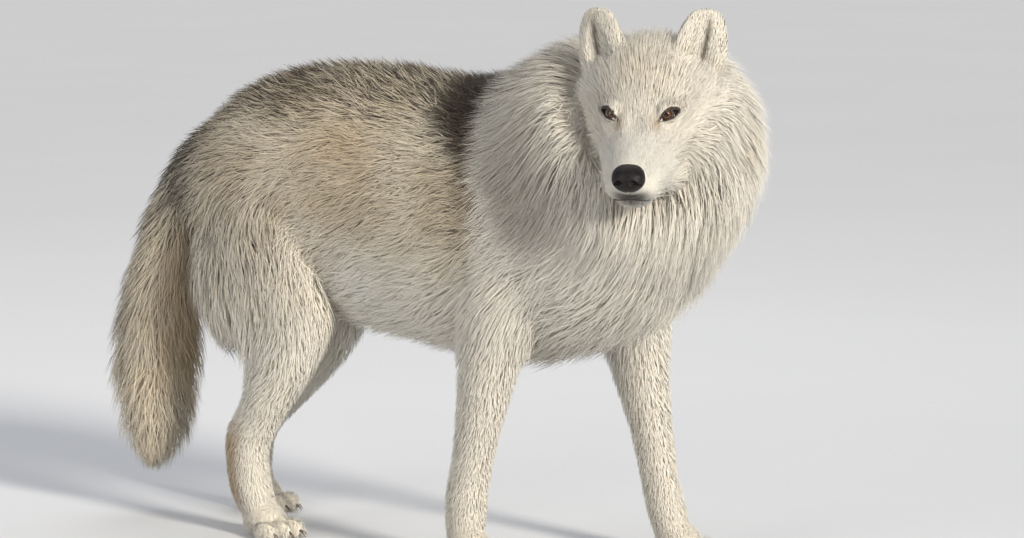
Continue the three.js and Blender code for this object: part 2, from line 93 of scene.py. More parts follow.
FORE_RIGHT = [
    [235, -62, 520, 40, 55, 55, 14],
    [212, -84, 450, 56, 78, 74, 14],
    [192, -98, 385, 52, 66, 66, 12],
    [180, -104, 325, 46, 54, 58, 10],
    [170, -106, 270, 39, 46, 48, 8],
    [156, -106, 205, 33, 39, 40, 7],
    [145, -105, 150, 31, 35, 36, 6],
    [136, -104, 110, 31, 35, 36, 6],
    [131, -103, 70, 30, 34, 33, 5],
    [130, -103, 36, 28, 30, 30, 5],
]
FORE_LEFT = [
    [300, 62, 520, 40, 55, 55, 14],
    [300, 86, 450, 56, 74, 76, 14],
    [300, 100, 385, 52, 62, 66, 12],
    [306, 106, 325, 46, 54, 58, 10],
    [312, 108, 270, 39, 46, 48, 8],
    [324, 111, 205, 32, 38, 38, 7],
    [334, 113, 150, 29, 34, 34, 6],
    [342, 114, 110, 28, 32, 33, 6],
    [352, 115, 70, 28, 32, 32, 5],
    [364, 116, 36, 28, 30, 30, 5],
]
HIND_RIGHT = [
    [-318, -48, 560, 40, 70, 70, 16],
    [-286, -76, 490, 62, 104, 140, 18],
    [-246, -92, 420, 60, 104, 158, 18],
    [-206, -99, 350, 52, 80, 136, 16],
    [-212, -101, 290, 43, 58, 94, 11],
    [-238, -100, 235, 36, 44, 58, 8],
    [-264, -98, 190, 32, 37, 44, 6],
    [-286, -96, 150, 31, 36, 48, 6],
    [-291, -96, 110, 30, 35, 42, 6],
    [-283, -96, 70, 29, 34, 38, 5],
    [-268, -96, 36, 28, 30, 30, 5],
]
HIND_LEFT = [
    [-330, 48, 560, 40, 70, 70, 16],
    [-320, 76, 490, 62, 98, 126, 18],
    [-298, 92, 420, 60, 96, 138, 18],
    [-272, 99, 350, 52, 72, 112, 16],
    [-290, 101, 290, 43, 54, 84, 11],
    [-330, 100, 235, 36, 42, 54, 8],
    [-374, 98, 190, 32, 36, 44, 6],
    [-412, 96, 150, 31, 35, 46, 6],
    [-430, 96, 110, 30, 34, 38, 6],
    [-434, 96, 70, 29, 33, 34, 5],
    [-424, 96, 36, 28, 30, 30, 5],
]
PAWS = [[136, -104, -8], [370, 117, 4], [-262, -96, -6], [-420, 96, -4]]  # x, y and turn in degrees

# The head has its own frame: its origin is midway between the eyeballs and +X goes to the nose.
HEAD_AT = (475, -146, 697)
HEAD_YAW = math.radians(-68.4)
HEAD_PITCH = math.radians(13.5)
SKULL = [
    [106, 0, -84, 4, 4, 4, 0.5],
    [105, 0, -83, 17, 17, 18, 1.2],
    [100, 0, -80, 28, 29, 31, 2],
    [89, 0, -76, 37, 36, 42, 2.5],
    [70, 0, -70, 44, 40, 50, 3],
    [44, 0, -60, 52, 42, 58, 4],
    [20, 0, -47, 59, 45, 68, 5],
    [-6, 0, -30, 73, 56, 78, 8],
    [-36, 0, -18, 90, 73, 86, 13],
    [-70, 0, -8, 104, 92, 90, 18],
    [-104, 0, -4, 98, 90, 84, 20],
    [-134, 0, -4, 72, 64, 62, 18],
    [-150, 0, -4, 30, 30, 30, 12],
]
# Strokes shape the left half of the head and are mirrored to the right: a middle, a reach, a push.
HEAD_STROKES = [
    [(10, 34, 24), 24, (1, 0, 1)],  # brow
    [(24, 42, -3), 26, (-7, -2, 0)],  # hollow of the eye
    [(36, 32, -22), 20, (-2, -3, 0)],  # tear line
    [(-14, 74, -30), 36, (3, 4, 0)],  # cheekbone
    [(54, 48, -48), 28, (0, -3, 0)],  # side of the muzzle
    [(92, 34, -88), 26, (1, 4, -1)],  # whisker pad
    [(104, 10, -114), 26, (-6, 0, 0)],  # chin
    [(34, 0, -4), 26, (-3, 0, -2)],  # stop
    [(-24, 0, 62), 22, (0, 0, -2)],  # furrow of the forehead
]
CHEEKS = [  # balls of flesh: a middle and radii
    [(0, 32, -86), (36, 25, 26)],
    [(-66, 52, -58), (54, 42, 44)],
    [(-92, 66, -34), (40, 40, 56)],
]
EYE_AT = (10, 38.5, 4)
EYE_RADIUS = 12
EYE_TURN = 0.45  # how far an eye looks outwards, in radians
EYE_REST = [(9, 3, -5), (12, 16, 11)]  # the flesh at an eye's outer end, in the eye's own plane
# The opening of the lids in the eye's own plane, from the tear corner out: how far across, the lower
# edge's height and how far out it lies, and the upper edge's.
EYE_OPENING = [
    [-11.8, -8.9, 6.9, -8.9, 6.9],
    [-9.6, -7.9, 8.0, -1.0, 9.0],
    [-5, -6.2, 10.3, 6.9, 9.6],
    [1.5, -4.9, 11.9, 9.8, 8.4],
    [8.1, -4.0, 9.0, 9.4, 5.6],
    [12, -3.0, 5.9, 8.4, 4.6],
    [16, -0.4, 4.5, 6.6, 3.8],
    [20.5, 3.8, 2.0, 3.8, 2.0],
]
LID_THICKNESS = 1.6
LID_RADII = [1.35 * 0.6, 1.35 * 0.85, 1.35, 1.35]  # from a corner of the eye inwards
LID_COVERS, LID_STANDS_OUT = 0.3, 0.3
SOCKET_DEPTH = 0.03  # metres
EAR_TURN = 0.42
EAR = [
    [-72, 58, 26, 32, 15, 13, 2],
    [-78, 66, 46, 38, 17, 14, 3],
    [-86, 73, 70, 38, 15, 12, 3],
    [-95, 78, 93, 33, 12, 9, 3],
    [-103, 81, 112, 22, 9, 6, 2.5],
    [-106, 82, 120, 15, 7, 4.5, 2],
    [-108, 82, 125, 9, 5, 3, 1.5],
]
EAR_ROUNDER = [1, 2, 3, 4, 7, 7, 2]  # the rims of the ears are rounder than the solids'
NOSE_AT, NOSE_RADII = (105, 0, -63), (20, 24.5, 20)
LIP_RADIUS = 1.7
LIP_TAPER = [1, 1, 0.9, 0.75, 0.55, 0.3]  # from the middle of the mouth to its corners
MOUTH = [[1.2, 180], [1.75, 146], [2.5, 130], [3.6, 121], [4.8, 113], [5.5, 106]]

FACE = (
    Matrix.Translation(Vector(HEAD_AT) * MM)
    @ Matrix.Rotation(HEAD_YAW, 4, "Z")
    @ Matrix.Rotation(HEAD_PITCH, 4, "Y")
)
low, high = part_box("eye_left")
SHIFT = (low + high) / 2 - FACE @ (Vector(EYE_AT) * MM)
SHIFT.z = 0
FACE = Matrix.Translation(SHIFT) @ FACE
BODY = Matrix.Translation(SHIFT)


def rows(v):
    """Vectors, one on each row, as an array."""
    return np.asarray(v, float).reshape(-1, 3)


def placed(matrix, v):
    """Rows of points, moved by the matrix."""
    m = np.array(matrix)
    return rows(v) @ m[:3, :3].T + m[:3, 3]


def turned(matrix, v):
    """Rows of directions, turned by the matrix."""
    return rows(v) @ np.array(matrix)[:3, :3].T


def unit(v):
    return v / np.maximum(np.linalg.norm(v, axis=1, keepdims=True), 1e-9)


def smooth(x, low, high):
    s = np.clip((x - low) / (high - low), 0, 1)
    return s * s * (3 - 2 * s)


def mix(a, b, share):
    """Between a and b. Rows of three, or one such row, take a share for each row."""
    share = np.asarray(share)
    if share.ndim == 1 and (np.ndim(a) == 2 or np.shape(b)[-1:] == (3,)):
        share = share[:, None]
    return a + (b - a) * share


# ---- camera, light and floor ---------------------------------------------------------------------

AZIMUTH, ELEVATION, DISTANCE = 35, 6.5, 7.0  # of the camera, in degrees and metres
TARGET = Vector((0.097, 0.068, 0.427)) + SHIFT
PIXELS_OF_FOCUS, PICTURE_WIDTH, FILM = 4550, 1024, 36  # the film is in millimetres
KEY_DISTANCE = 5.0


def direction(azimuth, elevation):
    """Towards a place round the wolf; azimuth 0 is on its right and 90 in front of it."""
    a, e = math.radians(azimuth), math.radians(elevation)
    return Vector((math.sin(a) * math.cos(e), -math.cos(a) * math.cos(e), math.sin(e)))


def hang(name, data, azimuth, elevation, distance):
    """Sets a lamp or a camera up, turned to the wolf."""
    toward = direction(azimuth, elevation)
    made = bpy.data.objects.new(name, data)
    made.location = TARGET + toward * distance
    made.rotation_euler = toward.to_track_quat("Z", "Y").to_euler()
    bpy.context.scene.collection.objects.link(made)
    return made


def make_camera():
    lens = bpy.data.cameras.new("camera")
    lens.sensor_width = FILM
    lens.lens = PIXELS_OF_FOCUS * FILM / PICTURE_WIDTH
    bpy.context.scene.camera = hang("camera", lens, AZIMUTH, ELEVATION, DISTANCE)


def make_light(name, azimuth, elevation, distance, size, power, colour):
    area = bpy.data.lights.new(name, "AREA")
    area.shape = "DISK"
    area.size = size
    area.energy = power
    area.color = colour
    hang(name, area, azimuth, elevation, distance)


def make_key_light(azimuth, elevation, spread, strength, colour):
    """An even light from far off, so that the floor is lit alike all over."""
    far = bpy.data.lights.new("key", "SUN")
    far.angle = math.radians(spread)
    far.energy = strength
    far.color = colour
    hang("key", far, azimuth, elevation, KEY_DISTANCE)


def make_studio():
    make_camera()
    make_key_light(72, 20, 11, 3.75, (1.0, 0.945, 0.85))
    make_light("fill", -12, 11, 5.0, 3.2, 74, (1.0, 0.97, 0.92))
    make_light("top", 215, 62, 4.0, 2.8, 30, (0.97, 0.98, 1.0))
    world = bpy.data.worlds.new("studio")
    world.use_nodes = True
    sky = world.node_tree.nodes["Background"]
    sky.inputs["Color"].default_value = (0.70, 0.72, 0.76, 1)
    sky.inputs["Strength"].default_value = 0.55
    bpy.context.scene.world = world
    bpy.context.scene.view_settings.view_transform = "Standard"


# ---- materials -----------------------------------------------------------------------------------


def new_material(name):
    made = bpy.data.materials.new(name)
    made.use_nodes = True
    return made, made.node_tree.nodes, made.node_tree.links


def object_noise(nodes, links, scale, detail=3.0, stretch=None):
    where = nodes.new("ShaderNodeTexCoord")
    grain = nodes.new("ShaderNodeTexNoise")
    grain.inputs["Scale"].default_value = scale
    grain.inputs["Detail"].default_value = detail
    if stretch is None:
        links.new(where.outputs["Object"], grain.inputs["Vector"])
        return grain
    turn = nodes.new("ShaderNodeMapping")
    turn.inputs["Scale"].default_value = stretch
    links.new(where.outputs["Object"], turn.inputs["Vector"])
    links.new(turn.outputs["Vector"], grain.inputs["Vector"])
    return grain


def ramp(nodes, stops):
    made = nodes.new("ShaderNodeValToRGB")
    while len(made.color_ramp.elements) < len(stops):
        made.color_ramp.elements.new(0.5)
    for element, (place, colour) in zip(made.color_ramp.elements, stops):
        element.position = place
        element.color = (*colour, 1)
    return made


def multiplied(nodes, links, a, b):
    made = nodes.new("ShaderNodeMix")
    made.data_type = "RGBA"
    made.blend_type = "MULTIPLY"
    made.inputs["Factor"].default_value = 1.0
    links.new(a, made.inputs["A"])
    links.new(b, made.inputs["B"])
    return made.outputs["Result"]


def bump(nodes, links, height, strength, distance):
    made = nodes.new("ShaderNodeBump")
    made.inputs["Strength"].default_value = strength
    made.inputs["Distance"].default_value = distance
    links.new(height, made.inputs["Height"])
    return made.outputs["Normal"]


def attribute(nodes, name):
    made = nodes.new("ShaderNodeAttribute")
    made.attribute_name = name
    return made


def coloured_by(nodes, links, value, stops):
    tone = ramp(nodes, stops)
    links.new(value, tone.inputs["Fac"])
    return tone.outputs["Color"]


def grained_material(name, scale, detail, stops, roughness, dents=None, stretch=None):
    """Noise between the stops' colours, and dents of that strength and depth from the same noise."""
    made, nodes, links = new_material(name)
    shader = nodes["Principled BSDF"]
    grain = object_noise(nodes, links, scale, detail, stretch).outputs["Fac"]
    links.new(coloured_by(nodes, links, grain, stops), shader.inputs["Base Color"])
    if dents:
        links.new(bump(nodes, links, grain, *dents), shader.inputs["Normal"])
    shader.inputs["Roughness"].default_value = roughness
    return made


def wet_skin_material():
    stops = [(0.3, (0.012, 0.009, 0.008)), (0.75, (0.045, 0.03, 0.024))]
    return grained_material("dark_rim", 1400, 4, stops, 0.42, (0.4, 0.0004))


def claw_material():
    stops = [(0.3, (0.035, 0.028, 0.022)), (0.72, (0.16, 0.12, 0.085))]
    return grained_material("claw_horn", 260, 4, stops, 0.34, (0.3, 0.0003), (1, 4, 4))


def whisker_material():
    stops = [(0.35, (0.42, 0.38, 0.33)), (0.65, (0.80, 0.77, 0.72))]
    return grained_material("whisker_hair", 180, 2, stops, 0.4)


def floor_material():
    stops = [(0.3, (0.770, 0.780, 0.800)), (0.7, (0.785, 0.795, 0.815))]
    return grained_material("pale_floor", 1.4, 3, stops, 0.85)


def hair_material():
    """Each tuft has its own tint and fine streaks along it."""
    made, nodes, links = new_material("winter_coat")
    hair = nodes["Principled BSDF"]
    streaks = nodes.new("ShaderNodeTexNoise")
    streaks.inputs["Scale"].default_value = 1.0
    streaks.inputs["Detail"].default_value = 2.0
    links.new(attribute(nodes, "strand").outputs["Vector"], streaks.inputs["Vector"])
    streak = streaks.outputs["Fac"]
    soft = coloured_by(nodes, links, streak, [(0.3, (0.84, 0.82, 0.79)), (0.62, (1.0, 1.0, 1.0))])
    tint = attribute(nodes, "tint").outputs["Color"]
    links.new(multiplied(nodes, links, tint, soft), hair.inputs["Base Color"])
    links.new(bump(nodes, links, streak, 0.35, 0.0004), hair.inputs["Normal"])
    hair.inputs["Roughness"].default_value = 0.62
    hair.inputs["Specular IOR Level"].default_value = 0.05
    hair.inputs["Subsurface Weight"].default_value = 0.25
    hair.inputs["Subsurface Radius"].default_value = (1.0, 0.85, 0.7)
    hair.inputs["Subsurface Scale"].default_value = 0.004
    return made


def skin_material():
    made, nodes, links = new_material("short_fur")
    skin = nodes["Principled BSDF"]
    wool = object_noise(nodes, links, 420, 5).outputs["Fac"]
    shade = coloured_by(nodes, links, wool, [(0.3, (0.74, 0.72, 0.7)), (0.7, (1.0, 1.0, 1.0))])
    tint = attribute(nodes, "tint").outputs["Color"]
    links.new(multiplied(nodes, links, tint, shade), skin.inputs["Base Color"])
    links.new(bump(nodes, links, wool, 0.7, 0.0016), skin.inputs["Normal"])
    skin.inputs["Roughness"].default_value = 0.78
    skin.inputs["Sheen Weight"].default_value = 0.2
    return made


def nose_material():
    """Pebbled leather, wetter in some places than in others."""
    made, nodes, links = new_material("nose_leather")
    pad = nodes["Principled BSDF"]
    where = nodes.new("ShaderNodeTexCoord")
    pebbles = nodes.new("ShaderNodeTexVoronoi")
    pebbles.inputs["Scale"].default_value = 620
    pebbles.feature = "SMOOTH_F1"
    links.new(where.outputs["Object"], pebbles.inputs["Vector"])
    fine = object_noise(nodes, links, 90, 3).outputs["Fac"]
    tone = coloured_by(nodes, links, fine, [(0.3, (0.006, 0.005, 0.005)), (0.75, (0.018, 0.015, 0.015))])
    wet = coloured_by(nodes, links, fine, [(0.3, (0.34, 0.34, 0.34)), (0.75, (0.55, 0.55, 0.55))])
    links.new(tone, pad.inputs["Base Color"])
    links.new(wet, pad.inputs["Roughness"])
    links.new(bump(nodes, links, pebbles.outputs["Distance"], 0.55, 0.0009), pad.inputs["Normal"])
    pad.inputs["Specular IOR Level"].default_value = 0.2
    return made


def eye_material():
    """Rings of the eye by the angle from the way it looks, and fibres by the angle round it."""
    made, nodes, links = new_material("amber_eye")
    ball = nodes["Principled BSDF"]
    fibres = nodes.new("ShaderNodeTexNoise")
    fibres.inputs["Scale"].default_value = 5.5
    fibres.inputs["Detail"].default_value = 5
    links.new(attribute(nodes, "spoke").outputs["Vector"], fibres.inputs["Vector"])
    bands = coloured_by(nodes, links, attribute(nodes, "ring").outputs["Fac"], [
        (0.0, (0.003, 0.003, 0.003)),
        (0.155, (0.003, 0.003, 0.003)),
        (0.19, (0.03, 0.014, 0.007)),
        (0.28, (0.12, 0.052, 0.018)),
        (0.42, (0.08, 0.032, 0.012)),
        (0.50, (0.04, 0.016, 0.007)),
        (0.55, (0.012, 0.007, 0.005)),
        (0.66, (0.09, 0.06, 0.045)),
        (1.0, (0.14, 0.10, 0.08)),
    ])
    stops = [(0.3, (0.55, 0.5, 0.46)), (0.7, (1.35, 1.3, 1.2))]
    streaks = coloured_by(nodes, links, fibres.outputs["Fac"], stops)
    links.new(multiplied(nodes, links, bands, streaks), ball.inputs["Base Color"])
    ball.inputs["Roughness"].default_value = 0.08
    ball.inputs["Specular IOR Level"].default_value = 0.25
    ball.inputs["Coat Weight"].default_value = 0.4
    ball.inputs["Coat Roughness"].default_value = 0.03
    return made


# ---- tubes ---------------------------------------------------------------------------------------


def spline(points, t):
    """The smooth curve through the points at t, and its slope; t goes from 0 to 1."""
    p = np.vstack([2 * points[0] - points[1], points, 2 * points[-1] - points[-2]])
    along = np.clip(t, 0, 1) * (len(points) - 1)
    i = np.minimum(along.astype(int), len(points) - 2)
    f = (along - i)[:, None]
    a, b, c, d = p[i], p[i + 1], p[i + 2], p[i + 3]
    start, end = (c - a) / 2, (d - b) / 2
    k2 = -3 * b + 3 * c - 2 * start - end
    k3 = 2 * b - 2 * c + start + end
    return b + f * (start + f * (k2 + f * k3)), start + f * (2 * k2 + 3 * f * k3)


LEAST_FLESH = 0.4  # the least share of a section's radius that the coat's depth leaves
SEARCH_STEPS = 81  # places along a tube that a point is compared with


class Tube:
    """Sections lie across the middle line, with their width along `side`."""

    def __init__(self, stations, side, matrix=BODY):
        table = np.array(stations, float)
        depth = table[:, 6:7] if table.shape[1] > 6 else 0
        radii = np.maximum(table[:, 3:6] - depth, table[:, 3:6] * LEAST_FLESH)
        self.points, self.radii = table[:, :3] * MM, radii * MM
        self.side = np.array(side, float)
        self.matrix = matrix

    def frame(self, t):
        middle, slope = spline(self.points, t)
        along = unit(slope)
        side = unit(self.side - along * (along @ self.side)[:, None])
        return middle, along, side, np.cross(along, side)

    def at(self, t, angle, share=1.0, lift=0.0):
        middle, along, side, up = self.frame(t)
        radii = spline(self.radii, t)[0]
        high = np.where(np.cos(angle) > 0, radii[:, 1], radii[:, 2])
        out = side * ((radii[:, 0] + lift) * np.sin(angle) * share)[:, None]
        return middle + out + up * ((high + lift) * np.cos(angle) * share)[:, None]

    def nearest(self, where):
        """For points in the row's frame: t, angle, and how far out as a share of the radius."""
        local = placed(self.matrix.inverted(), where)
        steps = np.linspace(0, 1, SEARCH_STEPS)
        middle = spline(self.points, steps)[0]
        best = np.zeros(len(local), int)
        nearest = np.full(len(local), 9.0)
        for i, m in enumerate(middle):
            far = np.linalg.norm(local - m, axis=1)
            best = np.where(far < nearest, i, best)
            nearest = np.minimum(far, nearest)
        t = steps[best]
        for _ in range(2):
            m, slope = spline(self.points, t)
            move = ((local - m) * slope).sum(1) / (slope * slope).sum(1)
            t = np.clip(t + move / (len(self.points) - 1), 0, 1)
        m, along, side, up = self.frame(t)
        out = local - m
        angle = np.arctan2((out * side).sum(1), (out * up).sum(1))
        reach = np.linalg.norm(self.at(t, angle) - m, axis=1)
        far = np.linalg.norm(out, axis=1)
        return t, angle, far / np.maximum(reach, 1e-4)


def tube_mesh(tube, around, rings, bend=None):
    """A grid wrapped round the tube, with its seam welded and its ends closed to a point."""
    bm = bmesh.new()
    bmesh.ops.create_grid(bm, x_segments=around, y_segments=rings + 2, size=1)
    grid = rows([v.co for v in bm.verts])
    angle = (grid[:, 0] + 1) * math.pi
    row = (grid[:, 1] + 1) / 2 * (rings + 2)
    t = np.clip((row - 1) / rings, 0, 1)
    share = np.where((row < 0.5) | (row > rings + 1.5), 0.0, 1.0)
    co = tube.at(t, angle, share)
    if bend is not None:
        co = bend(co)
    co = placed(tube.matrix, co)
    for v, p in zip(bm.verts, co):
        v.co = p
    bmesh.ops.remove_doubles(bm, verts=bm.verts, dist=1e-6)
    bmesh.ops.recalc_face_normals(bm, faces=bm.faces)
    return bm


def ball_mesh(at, radii, around, rings, matrix):
    bm = bmesh.new()
    bmesh.ops.create_uvsphere(bm, u_segments=around, v_segments=rings, radius=1)
    bmesh.ops.scale(bm, vec=Vector(radii) * MM, verts=bm.verts)
    bmesh.ops.translate(bm, vec=Vector(at) * MM, verts=bm.verts)
    bmesh.ops.transform(bm, matrix=matrix, verts=bm.verts)
    return bm


def new_piece(name, data):
    made = bpy.data.objects.new(name, data)
    bpy.context.scene.collection.objects.link(made)
    return made


def gathered(name, parts):
    """Several meshes in making as one object."""
    whole = bpy.data.meshes.new(name)
    total = bmesh.new()
    for part in parts:
        one = bpy.data.meshes.new("part")
        part.to_mesh(one)
        part.free()
        total.from_mesh(one)
        bpy.data.meshes.remove(one)
    total.to_mesh(whole)
    total.free()
    return new_piece(name, whole)


def settled(piece):
    """Applies the piece's modifiers."""
    graph = bpy.context.evaluated_depsgraph_get()
    graph.update()
    made = bpy.data.meshes.new_from_object(piece.evaluated_get(graph))
    old = piece.data
    piece.modifiers.clear()
    piece.data = made
    bpy.data.meshes.remove(old)
    return piece


def remeshed(piece, size, rounds):
    wrap = piece.modifiers.new("wrap", "REMESH")
    wrap.mode = "VOXEL"
    wrap.voxel_size = size
    soften = piece.modifiers.new("soften", "SMOOTH")
    soften.factor = 0.5
    soften.iterations = rounds
    return settled(piece)


def cut(piece, other, how):
    carve = piece.modifiers.new("carve", "BOOLEAN")
    carve.operation = how
    carve.solver = "MANIFOLD"
    carve.object = other
    settled(piece)
    bpy.data.objects.remove(other)
    return piece


# ---- the body's tubes ----------------------------------------------------------------------------

RIGHT, LEFT = (0, -1, 0), (0, 1, 0)
LEGS = ("fore_right", "fore_left", "hind_right", "hind_left")
tubes = {
    "trunk": Tube(TRUNK, RIGHT),
    "neck": Tube(NECK, RIGHT),
    "tail": Tube(TAIL, LEFT),
    "fore_right": Tube(FORE_RIGHT, LEFT),
    "fore_left": Tube(FORE_LEFT, LEFT),
    "hind_right": Tube(HIND_RIGHT, LEFT),
    "hind_left": Tube(HIND_LEFT, LEFT),
    "skull": Tube(SKULL, RIGHT, matrix=FACE),
}


def mirrored(v, side):
    return (v[0], v[1] * side, v[2])


def ear_across(side):
    return (-math.sin(EAR_TURN) * side, math.cos(EAR_TURN), 0)


def ear_tube(side):
    table = [[x, y * side, z, w + EAR_ROUNDER[i], *more] for i, (x, y, z, w, *more) in enumerate(EAR)]
    return Tube(table, ear_across(side), matrix=FACE)


tubes["ear_left"] = ear_tube(1)
tubes["ear_right"] = ear_tube(-1)


def sculpted(co):
    """The strokes of the head, on points in the head's frame."""
    start, made = co.copy(), co.copy()
    for at, reach, push in HEAD_STROKES:
        for side in (1, -1):
            off = start - np.array(mirrored(at, side)) * MM
            near = np.clip(1 - (off * off).sum(1) / (reach * MM) ** 2, 0, 1)
            made += np.array(mirrored(push, side)) * MM * (near * near)[:, None]
    return made


def in_eye_plane(side, across, up, deep):
    """From an eye's own plane, `deep` out along the way it looks, to the head's frame."""
    x = EYE_AT[0] + deep * math.cos(EYE_TURN) - across * math.sin(EYE_TURN)
    y = EYE_AT[1] + deep * math.sin(EYE_TURN) + across * math.cos(EYE_TURN)
    return mirrored((x, y, EYE_AT[2] + up), side)


def lid_edge(upper):
    """Points along one edge of the opening: across, up and out."""
    first = 3 if upper else 1
    return [(row[0], row[first], row[first + 1]) for row in EYE_OPENING]


def lid_mesh(side, upper):
    """The wet edge of a lid. It thins to both corners and covers a little of the opening."""
    stations = []
    edge = lid_edge(upper)
    for i, (across, up, out) in enumerate(edge):
        from_corner = min(i, len(edge) - 1 - i, len(LID_RADII) - 1)
        up += LID_COVERS * from_corner * (-1 if upper else 0.7)
        place = in_eye_plane(side, across, up, out + LID_STANDS_OUT)
        stations.append([*place, *[LID_RADII[from_corner]] * 3])
    return tube_mesh(Tube(stations, (0.8, 0, 0.6), matrix=FACE), 12, 44)


def eye_axis(side):
    """Straight out of an eye's opening, in the head's frame."""
    return Vector((math.cos(EYE_TURN), math.sin(EYE_TURN) * side, 0))


def socket_mesh(side):
    """The block that opens the skin in front of an eyeball."""
    rim = lid_edge(True) + lid_edge(False)[-2:0:-1]
    bm = bmesh.new()
    edge = [bm.verts.new(FACE @ (Vector(in_eye_plane(side, a, up, -1)) * MM)) for a, up, _ in rim]
    base = bm.faces.new(edge)
    grown = bmesh.ops.extrude_face_region(bm, geom=[base])
    moved = [v for v in grown["geom"] if isinstance(v, bmesh.types.BMVert)]
    bmesh.ops.translate(bm, vec=FACE.to_3x3() @ (eye_axis(side) * SOCKET_DEPTH), verts=moved)
    bmesh.ops.recalc_face_normals(bm, faces=bm.faces)
    return bm


def cup_mesh(side):
    """The hollow of an ear."""
    forward, start, end, wide, behind, before = 16.5, 48, 112, 0.66, 1.1, 2.2
    low, high = EAR[1][2], EAR[-1][2]
    table = []
    for x, y, z, w, b, *_ in EAR[1:]:
        height = start + (z - low) / (high - low) * (end - start)
        ahead = (x + forward * math.cos(EAR_TURN), y + forward * math.sin(EAR_TURN))
        table.append([*mirrored((*ahead, height), side), (w + 3) * wide, b * behind, b * before])
    return tube_mesh(Tube(table, ear_across(side), matrix=FACE), 28, 24)


def mouth_path(lift):
    """Points in the head's frame along the mouth, from its left corner to its right one."""
    t = np.array([p[0] for p in MOUTH]) / (len(SKULL) - 1)
    angle = np.radians([p[1] for p in MOUTH])
    one = sculpted(tubes["skull"].at(t, angle, lift=lift * MM)) / MM
    other = one[1:][::-1] * (1, -1, 1)
    return np.vstack([other, one])


def mouth_line():
    return spline(mouth_path(0), np.linspace(0, 1, 70))[0]


def mouth_mesh(radius, lift):
    path = mouth_path(lift)
    middle = len(path) // 2
    stations = [[*p, *[radius * LIP_TAPER[abs(i - middle)]] * 3] for i, p in enumerate(path)]
    return tube_mesh(Tube(stations, (0, 0, 1), matrix=FACE), 12, 90)


def groove_mesh():
    """The dark groove from the nose pad down to the lip."""
    t = np.array([0.05, 0.4, 0.8, 1.2]) / (len(SKULL) - 1)
    path = tubes["skull"].at(t, np.full(4, math.pi), lift=0.1 * MM)
    stations = [[*p, 1.0, 1.0, 1.0] for p in sculpted(path) / MM]
    return tube_mesh(Tube(stations, (0, 1, 0), matrix=FACE), 10, 20)


# ---- paws ----------------------------------------------------------------------------------------

PALM = (2, 0, 26), (38, 31, 30)  # a middle and radii
TOES = [[(46, 12, 15), (25, 12.5, 17)], [(32, 31, 14), (24, 12, 16)]]  # the inner and the outer ones
PAW_DEPTH = 3.5  # how deep the skin lies under the paws' coat
PAW_SINK = -1.2
CLAW_LENGTH, CLAW_RADII, CLAW_FLATNESS = 21, (3.6, 0.5), 0.72
CLAW_HOOK, CLAW_TILT = 0.019, math.radians(98)


def paw_matrix(x, y, turn):
    place = Matrix.Translation(Vector((x, y, PAW_SINK)) * MM)
    return BODY @ place @ Matrix.Rotation(math.radians(turn), 4, "Z")


def paw_meshes(x, y, turn):
    where = paw_matrix(x, y, turn)
    parts = [ball_mesh(PALM[0], [r - PAW_DEPTH for r in PALM[1]], 28, 18, where)]
    for at, radii in TOES:
        for side in (1, -1):
            size = [r - PAW_DEPTH + 1 for r in radii]
            parts.append(ball_mesh(mirrored(at, side), size, 22, 14, where))
    return parts


def claw_meshes(x, y, turn):
    """Each claw is a cone bent down over the toe's end."""
    where = paw_matrix(x, y, turn)
    made = []
    for at, radii in TOES:
        for side in (1, -1):
            bm = bmesh.new()
            bmesh.ops.create_cone(
                bm,
                cap_ends=True,
                segments=12,
                radius1=CLAW_RADII[0] * MM,
                radius2=CLAW_RADII[1] * MM,
                depth=CLAW_LENGTH * MM,
            )
            long = [e for e in bm.edges if abs(e.verts[0].co.z - e.verts[1].co.z) > 0.01]
            bmesh.ops.subdivide_edges(bm, edges=long, cuts=6)
            for v in bm.verts:
                along = v.co.z / MM + CLAW_LENGTH / 2
                v.co.x *= CLAW_FLATNESS
                v.co.x -= along * along * CLAW_HOOK * MM
            tip = Vector(mirrored(at, side)) * MM + Vector((radii[0] - 1, 0, 0)) * MM
            lie = Matrix.Translation(tip) @ Matrix.Rotation(CLAW_TILT, 4, "Y")
            lie = lie @ Matrix.Rotation(math.pi, 4, "Z")
            bmesh.ops.transform(bm, matrix=where @ lie, verts=bm.verts)
            bmesh.ops.recalc_face_normals(bm, faces=bm.faces)
            made.append(bm)
    return made


# ---- skin ----------------------------------------------------------------------------------------


# How fine each skin is, in metres, and how many times it is smoothed.
BODY_GRAIN, PAW_GRAIN, HEAD_GRAIN = (0.0078, 7), (0.003, 3), (0.0022, 6)
RIM_GRAIN, NOSE_GRAIN = (0.0021, 1), (0.0009, 3)
BODY_STEPS = {"trunk": (64, 60), "neck": (64, 50), "tail": (36, 50), **{leg: (40, 60) for leg in LEGS}}


def make_body_skin():
    parts = [tube_mesh(tubes[name], *steps) for name, steps in BODY_STEPS.items()]
    return remeshed(gathered("skin", parts), *BODY_GRAIN)


def make_paw_skin():
    parts = [part for paw in PAWS for part in paw_meshes(*paw)]
    for leg in LEGS:
        foot = np.column_stack([tubes[leg].points, tubes[leg].radii])[-3:] / MM
        parts.append(tube_mesh(Tube(foot, LEFT), 32, 16))
    return remeshed(gathered("paw_skin", parts), *PAW_GRAIN)


